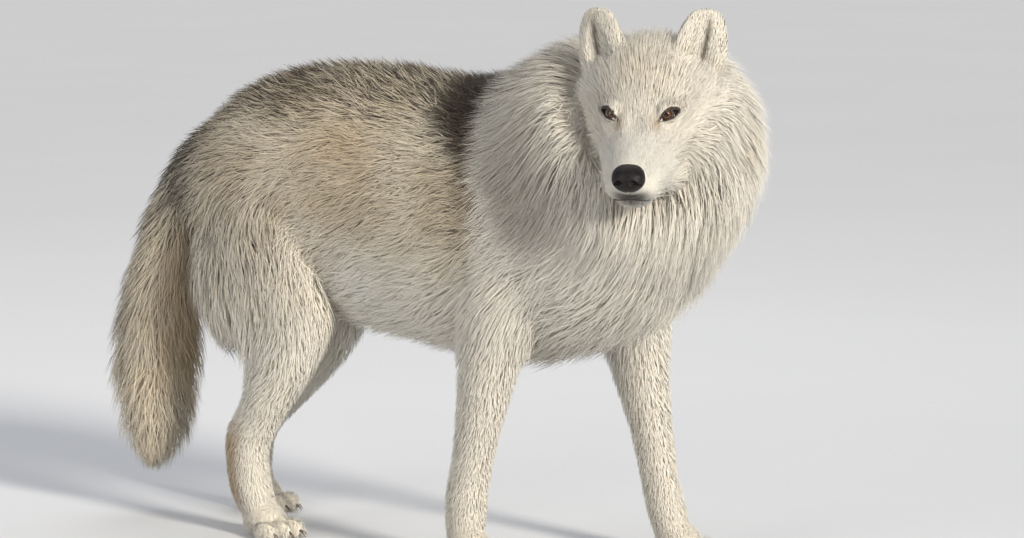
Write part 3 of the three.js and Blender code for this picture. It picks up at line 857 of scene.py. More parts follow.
def make_head_skin():
    parts = [tube_mesh(tubes["skull"], 120, 110, sculpted)]
    for side in (1, -1):
        at = Vector(in_eye_plane(side, *EYE_REST[0])) * MM
        lie = FACE @ Matrix.Translation(at) @ Matrix.Rotation(EYE_TURN * side, 4, "Z")
        balls = [(mirrored(EYE_AT, side), [EYE_RADIUS + LID_THICKNESS] * 3, FACE)]
        balls += [((0, 0, 0), EYE_REST[1], lie)]
        balls += [(mirrored(at, side), radii, FACE) for at, radii in CHEEKS]
        parts += [ball_mesh(at, radii, 40, 24, where) for at, radii, where in balls]
    head = remeshed(gathered("head_skin", parts), *HEAD_GRAIN)
    ears = gathered("ear_skin", [tube_mesh(ear_tube(side), 48, 40) for side in (1, -1)])
    cut(ears, gathered("hollow", [cup_mesh(1), cup_mesh(-1)]), "DIFFERENCE")
    cut(head, ears, "UNION")
    cut(head, gathered("slit", [mouth_mesh(LIP_RADIUS, 0.9)]), "DIFFERENCE")
    cut(head, gathered("socket", [socket_mesh(1), socket_mesh(-1)]), "DIFFERENCE")
    return remeshed(head, *RIM_GRAIN)


def make_skin():
    skin = make_body_skin()
    cut(skin, make_paw_skin(), "UNION")
    cut(skin, make_head_skin(), "UNION")
    below = bmesh.new()
    bmesh.ops.create_cube(below, size=1)
    bmesh.ops.scale(below, vec=(3, 3, 0.2), verts=below.verts)
    bmesh.ops.translate(below, vec=(0, 0, -0.1), verts=below.verts)
    return cut(skin, gathered("floor_cut", [below]), "DIFFERENCE")


# ---- eyes, nose, claws and whiskers --------------------------------------------------------------

LOOK = 0.72  # how far the eyes turn from straight out towards the one who looks at them
RINGS_END, CORNEA_END, CORNEA_BULGE = math.radians(70), math.radians(42), 0.055
# The way into the left nostril: x, y, z and radius.
NOSTRIL = [(32, 6, 3, 4.9), (19, 10.4, 0, 4.6), (14, 15, -3, 3.2), (9.5, 20.5, -7, 2.2)]
WHISKER_ROWS, WHISKERS_IN_ROW, WHISKER_RADIUS = 4, 5, 0.34


def eye_mesh(side):
    """A ball with the bulge of the cornea; `ring` and `spoke` carry its markings."""
    bm = bmesh.new()
    bmesh.ops.create_uvsphere(bm, u_segments=56, v_segments=40, radius=EYE_RADIUS * MM)
    ring = bm.verts.layers.float.new("ring")
    spoke = bm.verts.layers.float_vector.new("spoke")
    for v in bm.verts:
        polar = v.co.normalized().angle(Vector((0, 0, 1)))
        v[ring] = polar / RINGS_END
        flat = Vector((v.co.x, v.co.y, 0)).normalized() if polar > 0.02 else Vector((0, 0, 0))
        v[spoke] = flat + Vector((0, 0, 0.12 * v[ring]))
        v.co *= 1 + CORNEA_BULGE * max(0, 1 - (polar / CORNEA_END) ** 2)
    toward = direction(AZIMUTH, 0) + Vector((0, 0, 0.1))
    gaze = (FACE.to_3x3() @ eye_axis(side)).lerp(toward, LOOK).normalized()
    turn = gaze.to_track_quat("Z", "Y").to_matrix().to_4x4()
    at = FACE @ (Vector(mirrored(EYE_AT, side)) * MM)
    bmesh.ops.transform(bm, matrix=Matrix.Translation(at) @ turn, verts=bm.verts)
    return bm


def make_nose():
    pad = gathered("nose_pad", [ball_mesh((0, 0, 0), NOSE_RADII, 90, 60, Matrix())])
    for v in pad.data.vertices:
        x, y, z = v.co / MM
        c, h = abs(y) / NOSE_RADII[1], abs(z) / NOSE_RADII[2]
        corner = 0.06 if z > 0 else 0.11
        square = 1 + corner * min(1.0, 4 * c * c * h * h / max(c * c + h * h, 0.01) ** 2)
        y, z = y * square, z * square
        # The pad is broad above and narrow below, with a groove down its middle.
        low = max(0.0, -z / NOSE_RADII[2])
        y *= 1 - 0.34 * low * low
        top = max(0.0, z / NOSE_RADII[2])
        x -= 5 * top * top
        groove = math.exp(-((y / 2.0) ** 2)) * min(1, max(0, (8 - z) / 10))
        x -= 2.4 * groove * (x > 0)
        wing = math.exp(-(((abs(y) - 15) / 7) ** 2 + ((z + 1) / 9) ** 2))
        x += 2.2 * wing * (x > 0)
        v.co = Vector((x, y, z)) * MM
    holes = []
    for side in (1, -1):
        table = [[x, y * side, z, r * 0.72, r, r] for x, y, z, r in NOSTRIL]
        holes.append(tube_mesh(Tube(table, (0, 0, 1), matrix=Matrix()), 20, 26))
    cut(pad, gathered("nostrils", holes), "DIFFERENCE")
    remeshed(pad, *NOSE_GRAIN)
    pad.data.transform(FACE @ Matrix.Translation(Vector(NOSE_AT) * MM))
    return pad


def whisker_meshes():
    """Rows of stiff hairs on the upper lip, each a thin bent cone."""
    made = []
    for side in (1, -1):
        for row in range(WHISKER_ROWS):
            for place in range(WHISKERS_IN_ROW):
                t = (1.7 + 0.36 * place + 0.1 * (row % 2)) / (len(SKULL) - 1)
                angle = math.radians(122 - 11 * row) * side * -1
                root = tubes["skull"].at(np.array([t]), np.array([angle]))[0]
                middle, along, _, _ = tubes["skull"].frame(np.array([t]))
                root = sculpted(root[None])[0]
                out = unit((root - middle[0])[None])[0]
                length = random.uniform(26, 44) * MM * (0.7 + 0.12 * place)
                droop = random.uniform(0.10, 0.30)
                stations = []
                for k in range(5):
                    s = k / 4
                    at = root + (out * (0.75 - 0.25 * s) + along[0] * (0.55 + 0.35 * s)) * length * s
                    at = at + np.array([0, 0, -droop]) * length * s * s
                    thick = WHISKER_RADIUS * (1 - 0.8 * s)
                    stations.append([*(at / MM), thick, thick, thick])
                made.append(tube_mesh(Tube(stations, (0, 0, 1), matrix=FACE), 5, 6))
    return made


def place_piece(piece, material, nodes=()):
    piece.data.materials.clear()
    piece.data.materials.append(material)
    piece.data.shade_smooth()
    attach(piece, "root")
    if nodes:
        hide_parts(*nodes)
    return piece


def make_hard_parts():
    amber, rim = eye_material(), wet_skin_material()
    for name, side in (("left", 1), ("right", -1)):
        ball = gathered(name + "_eyeball", [eye_mesh(side)])
        place_piece(ball, amber, ["eye_" + name])
    place_piece(make_nose(), nose_material(), ["nose"])
    claws = gathered("claws", [claw for paw in PAWS for claw in claw_meshes(*paw)])
    place_piece(claws, claw_material())
    place_piece(gathered("whiskers", whisker_meshes()), whisker_material())
    lids = [lid_mesh(side, upper) for side in (1, -1) for upper in (True, False)]
    lips = [mouth_mesh(LIP_RADIUS, 0.3), groove_mesh()]
    place_piece(gathered("lids_and_lips", lids + lips), rim)


# ---- the lie of the coat -------------------------------------------------------------------------

ZONES = list(tubes)


def lattice(cell, seed):
    """A number from -1 to 1 for each cell."""
    mixed = (cell[:, 0] * 374761393 + cell[:, 1] * 668265263 + cell[:, 2] * 974634777) + seed * 40503
    mixed = (mixed ^ (mixed >> 13)) * 1274126177 & 0x7FFFFFFF
    mixed = (mixed ^ (mixed >> 16)) * 668265263 & 0x7FFFFFFF
    return ((mixed ^ (mixed >> 15)) & 0xFFFFFF) / 0x7FFFFF - 1


def cloud(where, size, seed):
    """Smooth noise from -1 to 1 with lumps about `size` metres across."""
    grid = where / size
    cell = np.floor(grid).astype(np.int64)
    f = grid - cell
    f = f * f * (3 - 2 * f)
    total = np.zeros(len(where))
    for corner in range(8):
        step = np.array([corner & 1, corner >> 1 & 1, corner >> 2])
        weight = np.where(step == 1, f, 1 - f).prod(1)
        total += weight * lattice(cell + step, seed)
    return total


def zone_places(where):
    """For each zone, the points' t, angle and distance as a share of the radius."""
    return [np.stack(found) for found in zip(*[tubes[zone].nearest(where) for zone in ZONES])]


def by_station(t, values):
    return np.interp(t, np.linspace(0, 1, len(values)), values)


# What a zone's coat is like at t, at an angle from the top, in millimetres: length, rise over the
# skin, width of a tuft, how freely it leaves the skin, how far it gathers in clumps, and how much it
# hangs down.
def trunk_coat(t, angle, x):
    side, under = np.abs(np.sin(angle)), smooth(-np.cos(angle), 0.2, 0.9)
    length = by_station(t, [76, 74, 66, 54, 44, 39, 38, 38, 40, 44, 48, 48]) + 16 * under
    rise = by_station(t, [30, 30, 30, 31, 31, 30, 30, 30, 29, 28, 27, 26])
    hang = 0.5 * side**2 + 0.25 * under + 0.6 * smooth(x, 0.25, 0.42)
    return length, rise, 1.4 + 0 * t, 0.12 + 0.3 * under, 0.42 + 0 * t, hang


def neck_coat(t, angle, x):
    side, under = np.abs(np.sin(angle)), smooth(-np.cos(angle), -0.2, 0.8)
    length = by_station(t, [70, 84, 98, 104, 100, 90, 80, 74]) * (0.82 + 0.22 * under + 0.08 * side)
    rise = by_station(t, [34, 37, 40, 42, 41, 39, 36, 33])
    hang = 1.15 * side**2 + 0.8 * under
    return length, rise, 1.05 + 0 * t, 0.3 + 0.15 * under, 0.36 + 0 * t, hang


def tail_coat(t, angle, x):
    length = by_station(t, [56, 66, 78, 88, 96, 100, 92, 74, 46])
    rise = by_station(t, [24, 28, 34, 42, 50, 56, 48, 28, 8])
    return length, rise, 1.4 + 0 * t, 0.3 + 0.4 * smooth(t, 0.6, 0.95), 0.45 + 0 * t, 0 * t


def fore_coat(t, angle, x):
    behind = smooth(-np.cos(angle), 0.3, 0.95)
    length = by_station(t, [46, 38, 28, 21, 17, 15, 14, 13, 12, 10]) * (1 + 0.7 * behind * (t < 0.6))
    rise = by_station(t, [15, 15, 13, 10.5, 8.5, 7.5, 6.5, 6.5, 5.5, 5])
    width = by_station(t, [1.4] * 8 + [1.3] * 2)
    return length, rise, width, 0.08 + 0.25 * behind, 0.25 + 0 * t, 0 * t


def hind_coat(t, angle, x):
    behind = smooth(-np.cos(angle), 0.3, 0.95)
    length = by_station(t, [62, 64, 64, 60, 42, 24, 17, 14, 13, 12, 10])
    rise = by_station(t, [20, 21, 21, 18, 12, 8.5, 7, 6.5, 6, 5.5, 5])
    width = by_station(t, [1.5] * 4 + [1.4] * 2 + [1.3] * 5)
    length = length * (1 + 0.45 * behind * (t < 0.5))
    free = 0.1 + behind * by_station(t, [0.25, 0.3, 0.5, 0.7, 0.5, 0.2, 0.1, 0.1, 0, 0, 0])
    return length, rise, width, free, 0.5 - 0.1 * t, 0.3 * (t < 0.3) + 0.5 * behind * (t < 0.4)


def skull_coat(t, angle, x):
    under = smooth(-np.cos(angle), -0.4, 0.3)
    top = by_station(t, [3.5, 4.5, 6, 6.5, 8, 10, 12, 17, 26, 38, 46, 48, 42])
    low = by_station(t, [3.5, 4, 6, 10, 18, 34, 46, 56, 64, 74, 78, 74, 66])
    flat = by_station(t, [1.5, 1.8, 2.2, 2.6, 3.2, 4.0, 5.2, 9, 20, 34, 40, 36, 26])
    puff = by_station(t, [1.5, 1.8, 2.2, 3, 5, 11, 17, 23, 28, 32, 32, 28, 20])
    width = by_station(t, [0.6, 0.6, 0.62, 0.66, 0.7, 0.74, 0.78, 0.82, 0.85, 0.9, 0.95, 1, 1])
    free = by_station(t, [0, 0, 0, 0, 0.05, 0.2, 0.4, 0.55, 0.6, 0.6, 0.5, 0.4, 0.4])
    rise = mix(flat, puff, under)
    beard = smooth(-np.cos(angle), 0.66, 0.92) * smooth(t, 0.16, 0.34)
    low, rise = low + 26 * beard, rise + 10 * beard
    hang = under * by_station(t, [0, 0, 0, 0, 0.1, 0.3, 0.6, 0.8, 0.9, 0.9, 0.9, 0.8, 0.8])
    free = free * (0.25 + 0.75 * under) + 0.3 * beard
    return mix(top, low, under), rise, width, free, 0.3 + 0 * t, hang + 0.9 * beard


def ear_coat(t, angle, x):
    length = by_station(t, [18, 15, 13, 12, 11, 9])
    rise = by_station(t, [5, 4.5, 4, 3.6, 3, 2.5])
    return length, rise, 1.5 + 0 * t, 0.25 + 0 * t, 0.3 + 0 * t, 0 * t


COATS = {
    "trunk": trunk_coat,
    "neck": neck_coat,
    "tail": tail_coat,
    "skull": skull_coat,
    "fore": fore_coat,
    "hind": hind_coat,
    "ear": ear_coat,
}
BORDER = 9  # how sharply one zone's coat goes over into the next one's


def read(items, name, width, kind=float):
    """One property of each item, on a row of its own."""
    values = np.zeros(len(items) * width, kind)
    items.foreach_get(name, values)
    return values.reshape(-1, width)


class Skin:
    """The skin's mesh as arrays, with the coat's fields and its lie at each corner."""

    def __init__(self, piece):
        data = piece.data
        data.calc_loop_triangles()
        self.co, self.normal = read(data.vertices, "co", 3), read(data.vertices, "normal", 3)
        self.faces = read(data.loop_triangles, "vertices", 3, int)
        self.edges = read(data.edges, "vertices", 2, int)
        self.tree = BVHTree.FromPolygons(self.co.tolist(), self.faces.tolist())
        self.t, self.angle, far = zone_places(self.co)
        # All of the muzzle belongs to the skull, whichever tube is nearer.
        face = placed(FACE.inverted(), self.co) / MM
        muzzle = (face[:, 0] > 45) & (np.abs(face[:, 1]) < 60) & (np.abs(face[:, 2] + 50) < 90)
        far[:, muzzle] += 9
        far[ZONES.index("skull"), muzzle] -= 9
        self.zone = far.argmin(0)
        near = np.exp(-BORDER * (far - far.min(0)))
        near /= near.sum(0)
        x = (self.co - np.array(SHIFT))[:, 0]
        fields = np.zeros((len(self.co), 6))
        lie = np.zeros_like(self.co)
        for i, zone in enumerate(ZONES):
            tube = tubes[zone]
            made = np.column_stack(COATS[zone.split("_")[0]](self.t[i], self.angle[i], x))
            fields += made * near[i][:, None]
            along = turned(tube.matrix, tube.frame(self.t[i])[1])
            along[:, 2] -= made[:, 5]
            lie += along * near[i][:, None]
        self.fields = self.averaged(fields, 6)
        self.lie = self.averaged(lie, 12)
        self.flatten()
        self.part_round_the_eyes()

    def flatten(self):
        """Turns the lie into the skin's surface."""
        self.lie = unit(self.lie - self.normal * (self.lie * self.normal).sum(1)[:, None])

    def part_round_the_eyes(self):
        """The hair runs past an eye on both sides, and is shorter near it."""
        for side in (1, -1):
            middle = np.array(FACE @ (Vector(in_eye_plane(side, 4, 2, EYE_RADIUS - 3)) * MM))
            toward = middle - self.co
            far = np.linalg.norm(toward, axis=1)
            toward = unit(toward)
            near = np.exp(-((far / (24 * MM)) ** 2))
            ahead = np.maximum((self.lie * toward).sum(1), 0) * np.minimum(1.5 * near, 1.15)
            self.lie -= toward * ahead[:, None]
            self.fields[:, :2] *= (1 - 0.42 * near)[:, None]
        self.flatten()

    def averaged(self, values, rounds):
        """Values at the corners, evened out along the edges."""
        a, b = self.edges.T
        count = np.bincount(np.concatenate([a, b]), minlength=len(values))[:, None] + 1.0
        for _ in range(rounds):
            total = values.copy()
            for i in range(values.shape[1]):
                total[:, i] += np.bincount(a, values[b, i], len(values))
                total[:, i] += np.bincount(b, values[a, i], len(values))
            values = total / count
        return values


# ---- markings ------------------------------------------------------------------------------------

WHITE = np.array([0.90, 0.87, 0.80])
CREAM = np.array([0.83, 0.76, 0.63])
STRAW = np.array([0.66, 0.52, 0.32])
TAN = np.array([0.50, 0.36, 0.21])
ORANGE = np.array([0.55, 0.33, 0.13])
GREY = np.array([0.42, 0.37, 0.31])
BROWN = np.array([0.20, 0.155, 0.115])
DARK = np.array([0.035, 0.028, 0.024])
# The skin's darkening under the coat is painted shade.
SKIN_SHADE = 0.97  # how much darker the skin is than the coat on it


def around_eye(face, longer, higher):
    """Under 1 inside the eye's opening, made longer and higher, for points in the head's frame."""
    off = face * (1, 0, 1) + np.abs(face) * (0, 1, 0) - np.array(EYE_AT)
    deep = off[:, 0] * math.cos(EYE_TURN) + off[:, 1] * math.sin(EYE_TURN)
    across = -off[:, 0] * math.sin(EYE_TURN) + off[:, 1] * math.cos(EYE_TURN)
    table = np.array(EYE_OPENING)
    start, end = table[0, 0], table[-1, 0]
    line = np.interp(across, table[:, 0], (table[:, 1] + table[:, 3]) / 2)
    tall = (table[:, 3] - table[:, 1]).max() / 2
    far = ((across - (start + end) / 2) / ((end - start) / 2 + longer)) ** 2
    far += ((off[:, 2] - line) / (tall + higher)) ** 2
    return np.where(deep > -12, far, 9.0)


# Soft places on the flanks: x, z, and how far each reaches along and up, in metres.
SPOTS = {
    "saddle": (0.160, 0.705, 0.032, 0.060),
    "saddle_rear": (0.12, 0.685, 0.045, 0.035),
    "saddle_top": (0.13, 0.76, 0.07, 0.03),
    "band": (0.180, 0.61, 0.022, 0.10),
    "glow": (-0.07, 0.625, 0.07, 0.05),
    "shade": (-0.094, 0.46, 0.035, 0.07),
    "pale": (-0.06, 0.40, 0.05, 0.07),
    # painted light: a paler, warmer cream along the upper flank
    "painted_light_flank": (-0.02, 0.69, 0.13, 0.045),
    # the rump and hip: partly the coat's own grey, partly painted shade
    "rump": (-0.455, 0.57, 0.075, 0.11),
    "hip": (-0.31, 0.60, 0.08, 0.09),
    # painted shade: grey on the right side of the mane, behind the head
    "painted_mane_shade": (0.265, 0.585, 0.10, 0.13),
    "painted_mane_shade_front": (0.36, 0.70, 0.05, 0.07),
    "specks": (0.40, 0.385, 0.05, 0.03),
}


def in_spot(name, x, z):
    at_x, at_z, along, up = SPOTS[name]
    return np.exp(-(((x - at_x) / along) ** 2 + ((z - at_z) / up) ** 2))


def markings(skin):
    """Colours of a tuft at the skin, half way and at the tip, the share of dark ones, and the skin's."""
    body = placed(BODY.inverted(), skin.co)
    face = placed(FACE.inverted(), skin.co) / MM
    x, y, z = body.T
    spot = {name: in_spot(name, x, z) for name in SPOTS}
    zone = {name: (skin.zone == i).astype(float) for i, name in enumerate(ZONES)}
    zone = {name: skin.averaged(mask[:, None], 10)[:, 0] for name, mask in zone.items()}
    at = {name: (skin.t[i], np.abs(skin.angle[i])) for i, name in enumerate(ZONES)}
    ragged = 0.6 * cloud(skin.co, 0.05, 3) + 0.4 * cloud(skin.co, 0.02, 4)
    fine = cloud(skin.co, 0.012, 6)
    mottle = smooth(cloud(skin.co, 0.045, 5) + 0.3 * ragged, -0.3, 0.5)
    mid = np.tile(CREAM, (len(x), 1))
    tip = np.tile(WHITE, (len(x), 1))
    dark = np.zeros(len(x))

    def paint(colour, share, tip_share=None):
        nonlocal mid, tip
        mid = mix(mid, colour, share)
        tip = mix(tip, colour, share if tip_share is None else tip_share)

    # The back is grey-brown behind the mane, with a dark saddle; the flanks are straw and ochre.
    a = np.degrees(at["trunk"][1]) + 13 * ragged
    trunk = np.clip(zone["trunk"] + zone["neck"] + zone["hind_right"] + zone["hind_left"], 0, 1)
    far_side = smooth(y, -0.05, 0.06)
    uneven = (0.012 + 0.045 * far_side) * ragged + 0.012 * fine
    behind = 1 - smooth(x + uneven, 0.175 - 0.13 * far_side, 0.215)
    cap = (1 - smooth(a, 16, 48)) * behind
    flank = (1 - smooth(a, 96, 150)) * behind
    saddle = 3.2 * spot["saddle"] + 0.7 * spot["saddle_rear"]
    saddle = np.clip(saddle + 0.6 * spot["saddle_top"], 0, 1) * (1 - 0.85 * far_side)
    band = spot["band"] * behind * (1 - 0.5 * far_side)
    thigh = (zone["hind_right"] + zone["hind_left"]) * smooth(z, 0.30, 0.46)
    coloured = np.clip(trunk * np.maximum(flank, 0.55 * thigh * behind), 0, 1)
    ground = mix(STRAW, CREAM, 0.52 - 0.35 * mottle + 0.15 * thigh)
    ground = mix(ground, GREY, 0.04 + 0.16 * mottle + 0.2 * thigh)
    ground = mix(ground, BROWN, cap * (0.35 + 0.4 * mottle))
    mid = mix(mid, ground, coloured)
    tip = mix(tip, mix(ground, CREAM, 0.35 * (1 - cap)), coloured)
    mid = mix(mid, ORANGE, np.clip(0.55 * spot["glow"] + 0.35 * band, 0, 1) * trunk)
    tip = mix(tip, mix(TAN, ORANGE, 0.4), np.clip(0.45 * spot["glow"], 0, 1) * trunk)
    mid = mix(mid, TAN, np.clip(0.5 * spot["shade"] * trunk, 0, 1))
    paint(WHITE, 0.7 * spot["pale"] * trunk)
    # Painted light: a paler, warmer cream along the upper flank.
    paint(CREAM * (1, 0.96, 0.88), 0.6 * (spot["painted_light_flank"] * (1 - cap)) * trunk * behind)
    paint(BROWN, np.clip(0.7 * band, 0, 0.8) * trunk)
    paint(DARK * 0.3, np.clip(saddle, 0, 0.98) * trunk * behind)
    dark += trunk * behind * (0.5 * cap + 0.05 * flank * mottle + saddle + 0.3 * band)
    # The rump and hip are greyer with more dark tufts: partly the coat's own grey, partly painted shade.
    paint(GREY * 0.8, np.clip(0.8 * spot["rump"] + 0.35 * spot["hip"], 0, 1) * trunk)
    dark += 0.7 * spot["rump"] * trunk + 0.04 * thigh * mottle

    # The mane's ridge is dusted with grey and its right side carries painted shade in grey; the throat
    # and chest have brown hairs.
    t, a = at["neck"][0], np.degrees(at["neck"][1])
    mane = zone["neck"]
    ridge = mane * (1 - smooth(a + 12 * ragged, 8, 40)) * smooth(t, 0.15, 0.5)
    mid, tip = mix(mid, STRAW, 0.5 * ridge), mix(tip, CREAM, 0.5 * ridge)
    dark += 0.30 * ridge
    # Painted shade: the right side of the mane is greyed where the head's shadow would fall.
    painted_mane_shade = mane * np.clip(spot["painted_mane_shade"] + 0.8 * spot["painted_mane_shade_front"], 0, 1) * smooth(-y, 0.02, 0.10)
    paint(GREY * 0.9, 0.8 * painted_mane_shade, 0.72 * painted_mane_shade)
    throat = mane * smooth(cloud(skin.co, 0.035, 8), 0.25, 0.6) * smooth(a, 110, 150)
    mid = mix(mid, STRAW, 0.35 * throat)
    specks = spot["specks"] * mane * (y < 0.1) * smooth(fine, 0.2, 0.6)
    paint(TAN, 0.8 * specks, 0.7 * specks)

    # The tail is grey-brown above, straw below and rusty on its inner side.
    t, tail = at["tail"][0], zone["tail"]
    turn = np.cos(skin.angle[ZONES.index("tail")])
    back = (1 - smooth(turn + 0.2 * ragged, -0.8, 0.0)) * (1 - smooth(t, 0.35, 0.7))
    inner = smooth(turn, 0.1, 0.8) * smooth(t, 0.12, 0.3) * (1 - smooth(t, 0.5, 0.72))
    mid = mix(mid, mix(STRAW, CREAM, 0.5 + 0.3 * mottle), tail)
    tip = mix(tip, mix(mix(CREAM, STRAW, 0.45), GREY, 0.2), tail)
    paint(GREY * 0.8, 0.7 * tail * back, 0.55 * tail * back)
    mid, tip = mix(mid, ORANGE, 0.5 * tail * inner), mix(tip, TAN, 0.38 * tail * inner)
    dark += tail * (0.3 * back + 0.6 * (1 - smooth(t, 0.08, 0.3)))

    # Legs are white with a brown stripe down the outer rear of the hind foot.
    for name, side in (("hind_right", -1), ("hind_left", 1)):
        t = at[name][0] + 0.04 * ragged
        stripe = zone[name] * smooth(t, 0.58, 0.74) * (1 - smooth(t, 0.86, 1.0))
        outer = np.cos(skin.angle[ZONES.index(name)] - side * 2.6)
        stripe *= smooth(outer + 0.25 * ragged, 0.45, 0.95)
        paint(TAN, 0.9 * stripe, 0.8 * stripe)

    # The face has a warm forehead, tear stains, smudges on the upper lip and a grey patch by the ears.
    skull = zone["skull"]
    fx, fy, fz = face.T
    fy = np.abs(fy)
    warm = skull * np.exp(-(((fx + 30) / 50) ** 2) - ((fz - 50) / 34) ** 2 - (fy / 50) ** 2)
    mid, tip = mix(mid, STRAW, 0.32 * warm), mix(tip, CREAM, 0.6 * warm)
    mid = mix(mid, WHITE, 0.7 * skull * smooth(fx, 15, 60))
    tear = skull * np.exp(-(((fx - 29) / 12) ** 2) - ((fy - 26) / 6) ** 2 - ((fz + 13) / 11) ** 2)
    paint(TAN, 0.85 * tear, 0.75 * tear)
    smudge = np.exp(-((fy / 23) ** 4) - ((fz + 95) / 11) ** 4)
    smudge = smudge + 0.6 * np.exp(-((fy / 7) ** 2) - ((fz + 110) / 6) ** 2)
    smudge = skull * smooth(fx, 78, 92) * np.clip(smudge, 0, 1)
    paint(GREY * 0.15, 0.97 * smudge)
    dusk = skull * np.exp(-(((fy - 30) / 16) ** 2) - ((fz - 78) / 20) ** 2) * smooth(-fx, 30, 60)
    paint(GREY, 0.6 * dusk, 0.5 * dusk)
    # Painted shade: a faint grey on the hair above each eye.
    brow = skull * (1 - smooth(around_eye(face, 5, 6), 0.5, 1.3))
    paint(GREY, 0.12 * brow, 0.06 * brow)
    rim = 1 - smooth(around_eye(face, 3.0, 2.2), 0.75, 1.1)
    duct = ((fx - 24) / 8) ** 2 + ((fy - 28) / 4) ** 2 + ((fz + 7) / 6) ** 2
    rim = skull * np.maximum(rim, np.exp(-(duct**2)))

    # The ears are cream inside, with a dark slit, and straw behind.
    inked = smudge
    for name, side in (("ear_left", 1), ("ear_right", -1)):
        ahead = turned(FACE, [(math.cos(EAR_TURN), math.sin(EAR_TURN) * side, 0.1)])[0]
        cup = smooth(skin.normal @ ahead, 0.1, 0.7) * zone[name]
        t = at[name][0]
        middle, _, across, _ = tubes[name].frame(t)
        out = ((face * MM - middle) * across).sum(1) / MM * side
        slit = cup * np.exp(-(((out - 9 + 8 * t) / 5.0) ** 2)) * (1 - smooth(t, 0.45, 0.78))
        mid, tip = mix(mid, CREAM, 0.5 * cup), mix(tip, mix(WHITE, CREAM, 0.5), 0.8 * cup)
        paint(BROWN * 0.3, 0.9 * slit)
        inked = np.maximum(inked, slit)
        rear = smooth(-(skin.normal @ ahead), 0.2, 0.8) * zone[name]
        mid, tip = mix(mid, STRAW, 0.35 * rear), mix(tip, CREAM, 0.6 * rear)

    # Hair is paler at its root, apart from the dark marks, partly as pale underwool and partly as
    # painted light between tufts; in the coloured coat the root is greyer, partly underwool and partly
    # painted shade. The skin shows dark round the eyes.
    paler = (1 - np.clip(saddle, 0, 1) * trunk) * (1 - inked)
    root = mix(mix(mid, WHITE, 0.3 * paler), GREY, 0.3 * coloured * paler)
    bare = mix(mid, DARK * 0.6, rim)
    return root, mid, tip, np.clip(dark, 0, 0.95), bare


def give_tint(data, colours):
    layer = data.color_attributes.new("tint", "FLOAT_COLOR", "POINT")
    full = np.ones((len(colours), 4), np.float32)
    full[:, :3] = colours
    layer.data.foreach_set("color", full.ravel())


# ---- tufts ---------------------------------------------------------------------------------------

PATCH = 0.003  # how wide a tuft's own patch of the bake map is
SHARES = {2: [0.85, 1.0], 3: [0.6, 1.0, 0.68]}  # of a tuft's width, at each of its rings
EXPECTED_FILL = 0.6
SOFTNESS, SHORT_SOFTNESS = 0.84, 0.95  # how far a tuft is lit as the skin under it is
CLUMPS = ((3.2, 0.24), (9.0, 0.34))  # tufts from one leader to the next, and its pull on them
EAR_PATCHES = {"ear_left": (0, 0, 0.5, 1), "ear_right": (0.5, 0, 1, 1)}  # shares of the bake map
FIBRE_WIDTH, FIBRE_LENGTH = 0.0005, 0.02  # of the hairs that streak a tuft
LENGTHS, WIDTHS = (0.72, 1.12), (0.75, 1.2)  # shares of the usual measures that tufts vary between
ROOT_DEPTH, LOWEST = 1.5, 2.5  # under the skin, and over the floor
MIDDLE = 0.4  # where along a tuft the colour of its middle lies


def tuft_faces(rings):
    """Triangles of one tuft, with three corners to a ring: a closed root, the sides and a tip."""
    faces = [(0, 2, 1)]
    for k in range(rings - 1):
        for i, j in ((0, 1), (1, 2), (2, 0)):
            low, other = 3 * k + i, 3 * k + j
            faces += [(low, other, low + 3), (other, other + 3, low + 3)]
    top = 3 * (rings - 1)
    faces += [(top + i, top + j, 3 * rings) for i, j in ((0, 1), (1, 2), (2, 0))]
    return np.array(faces)


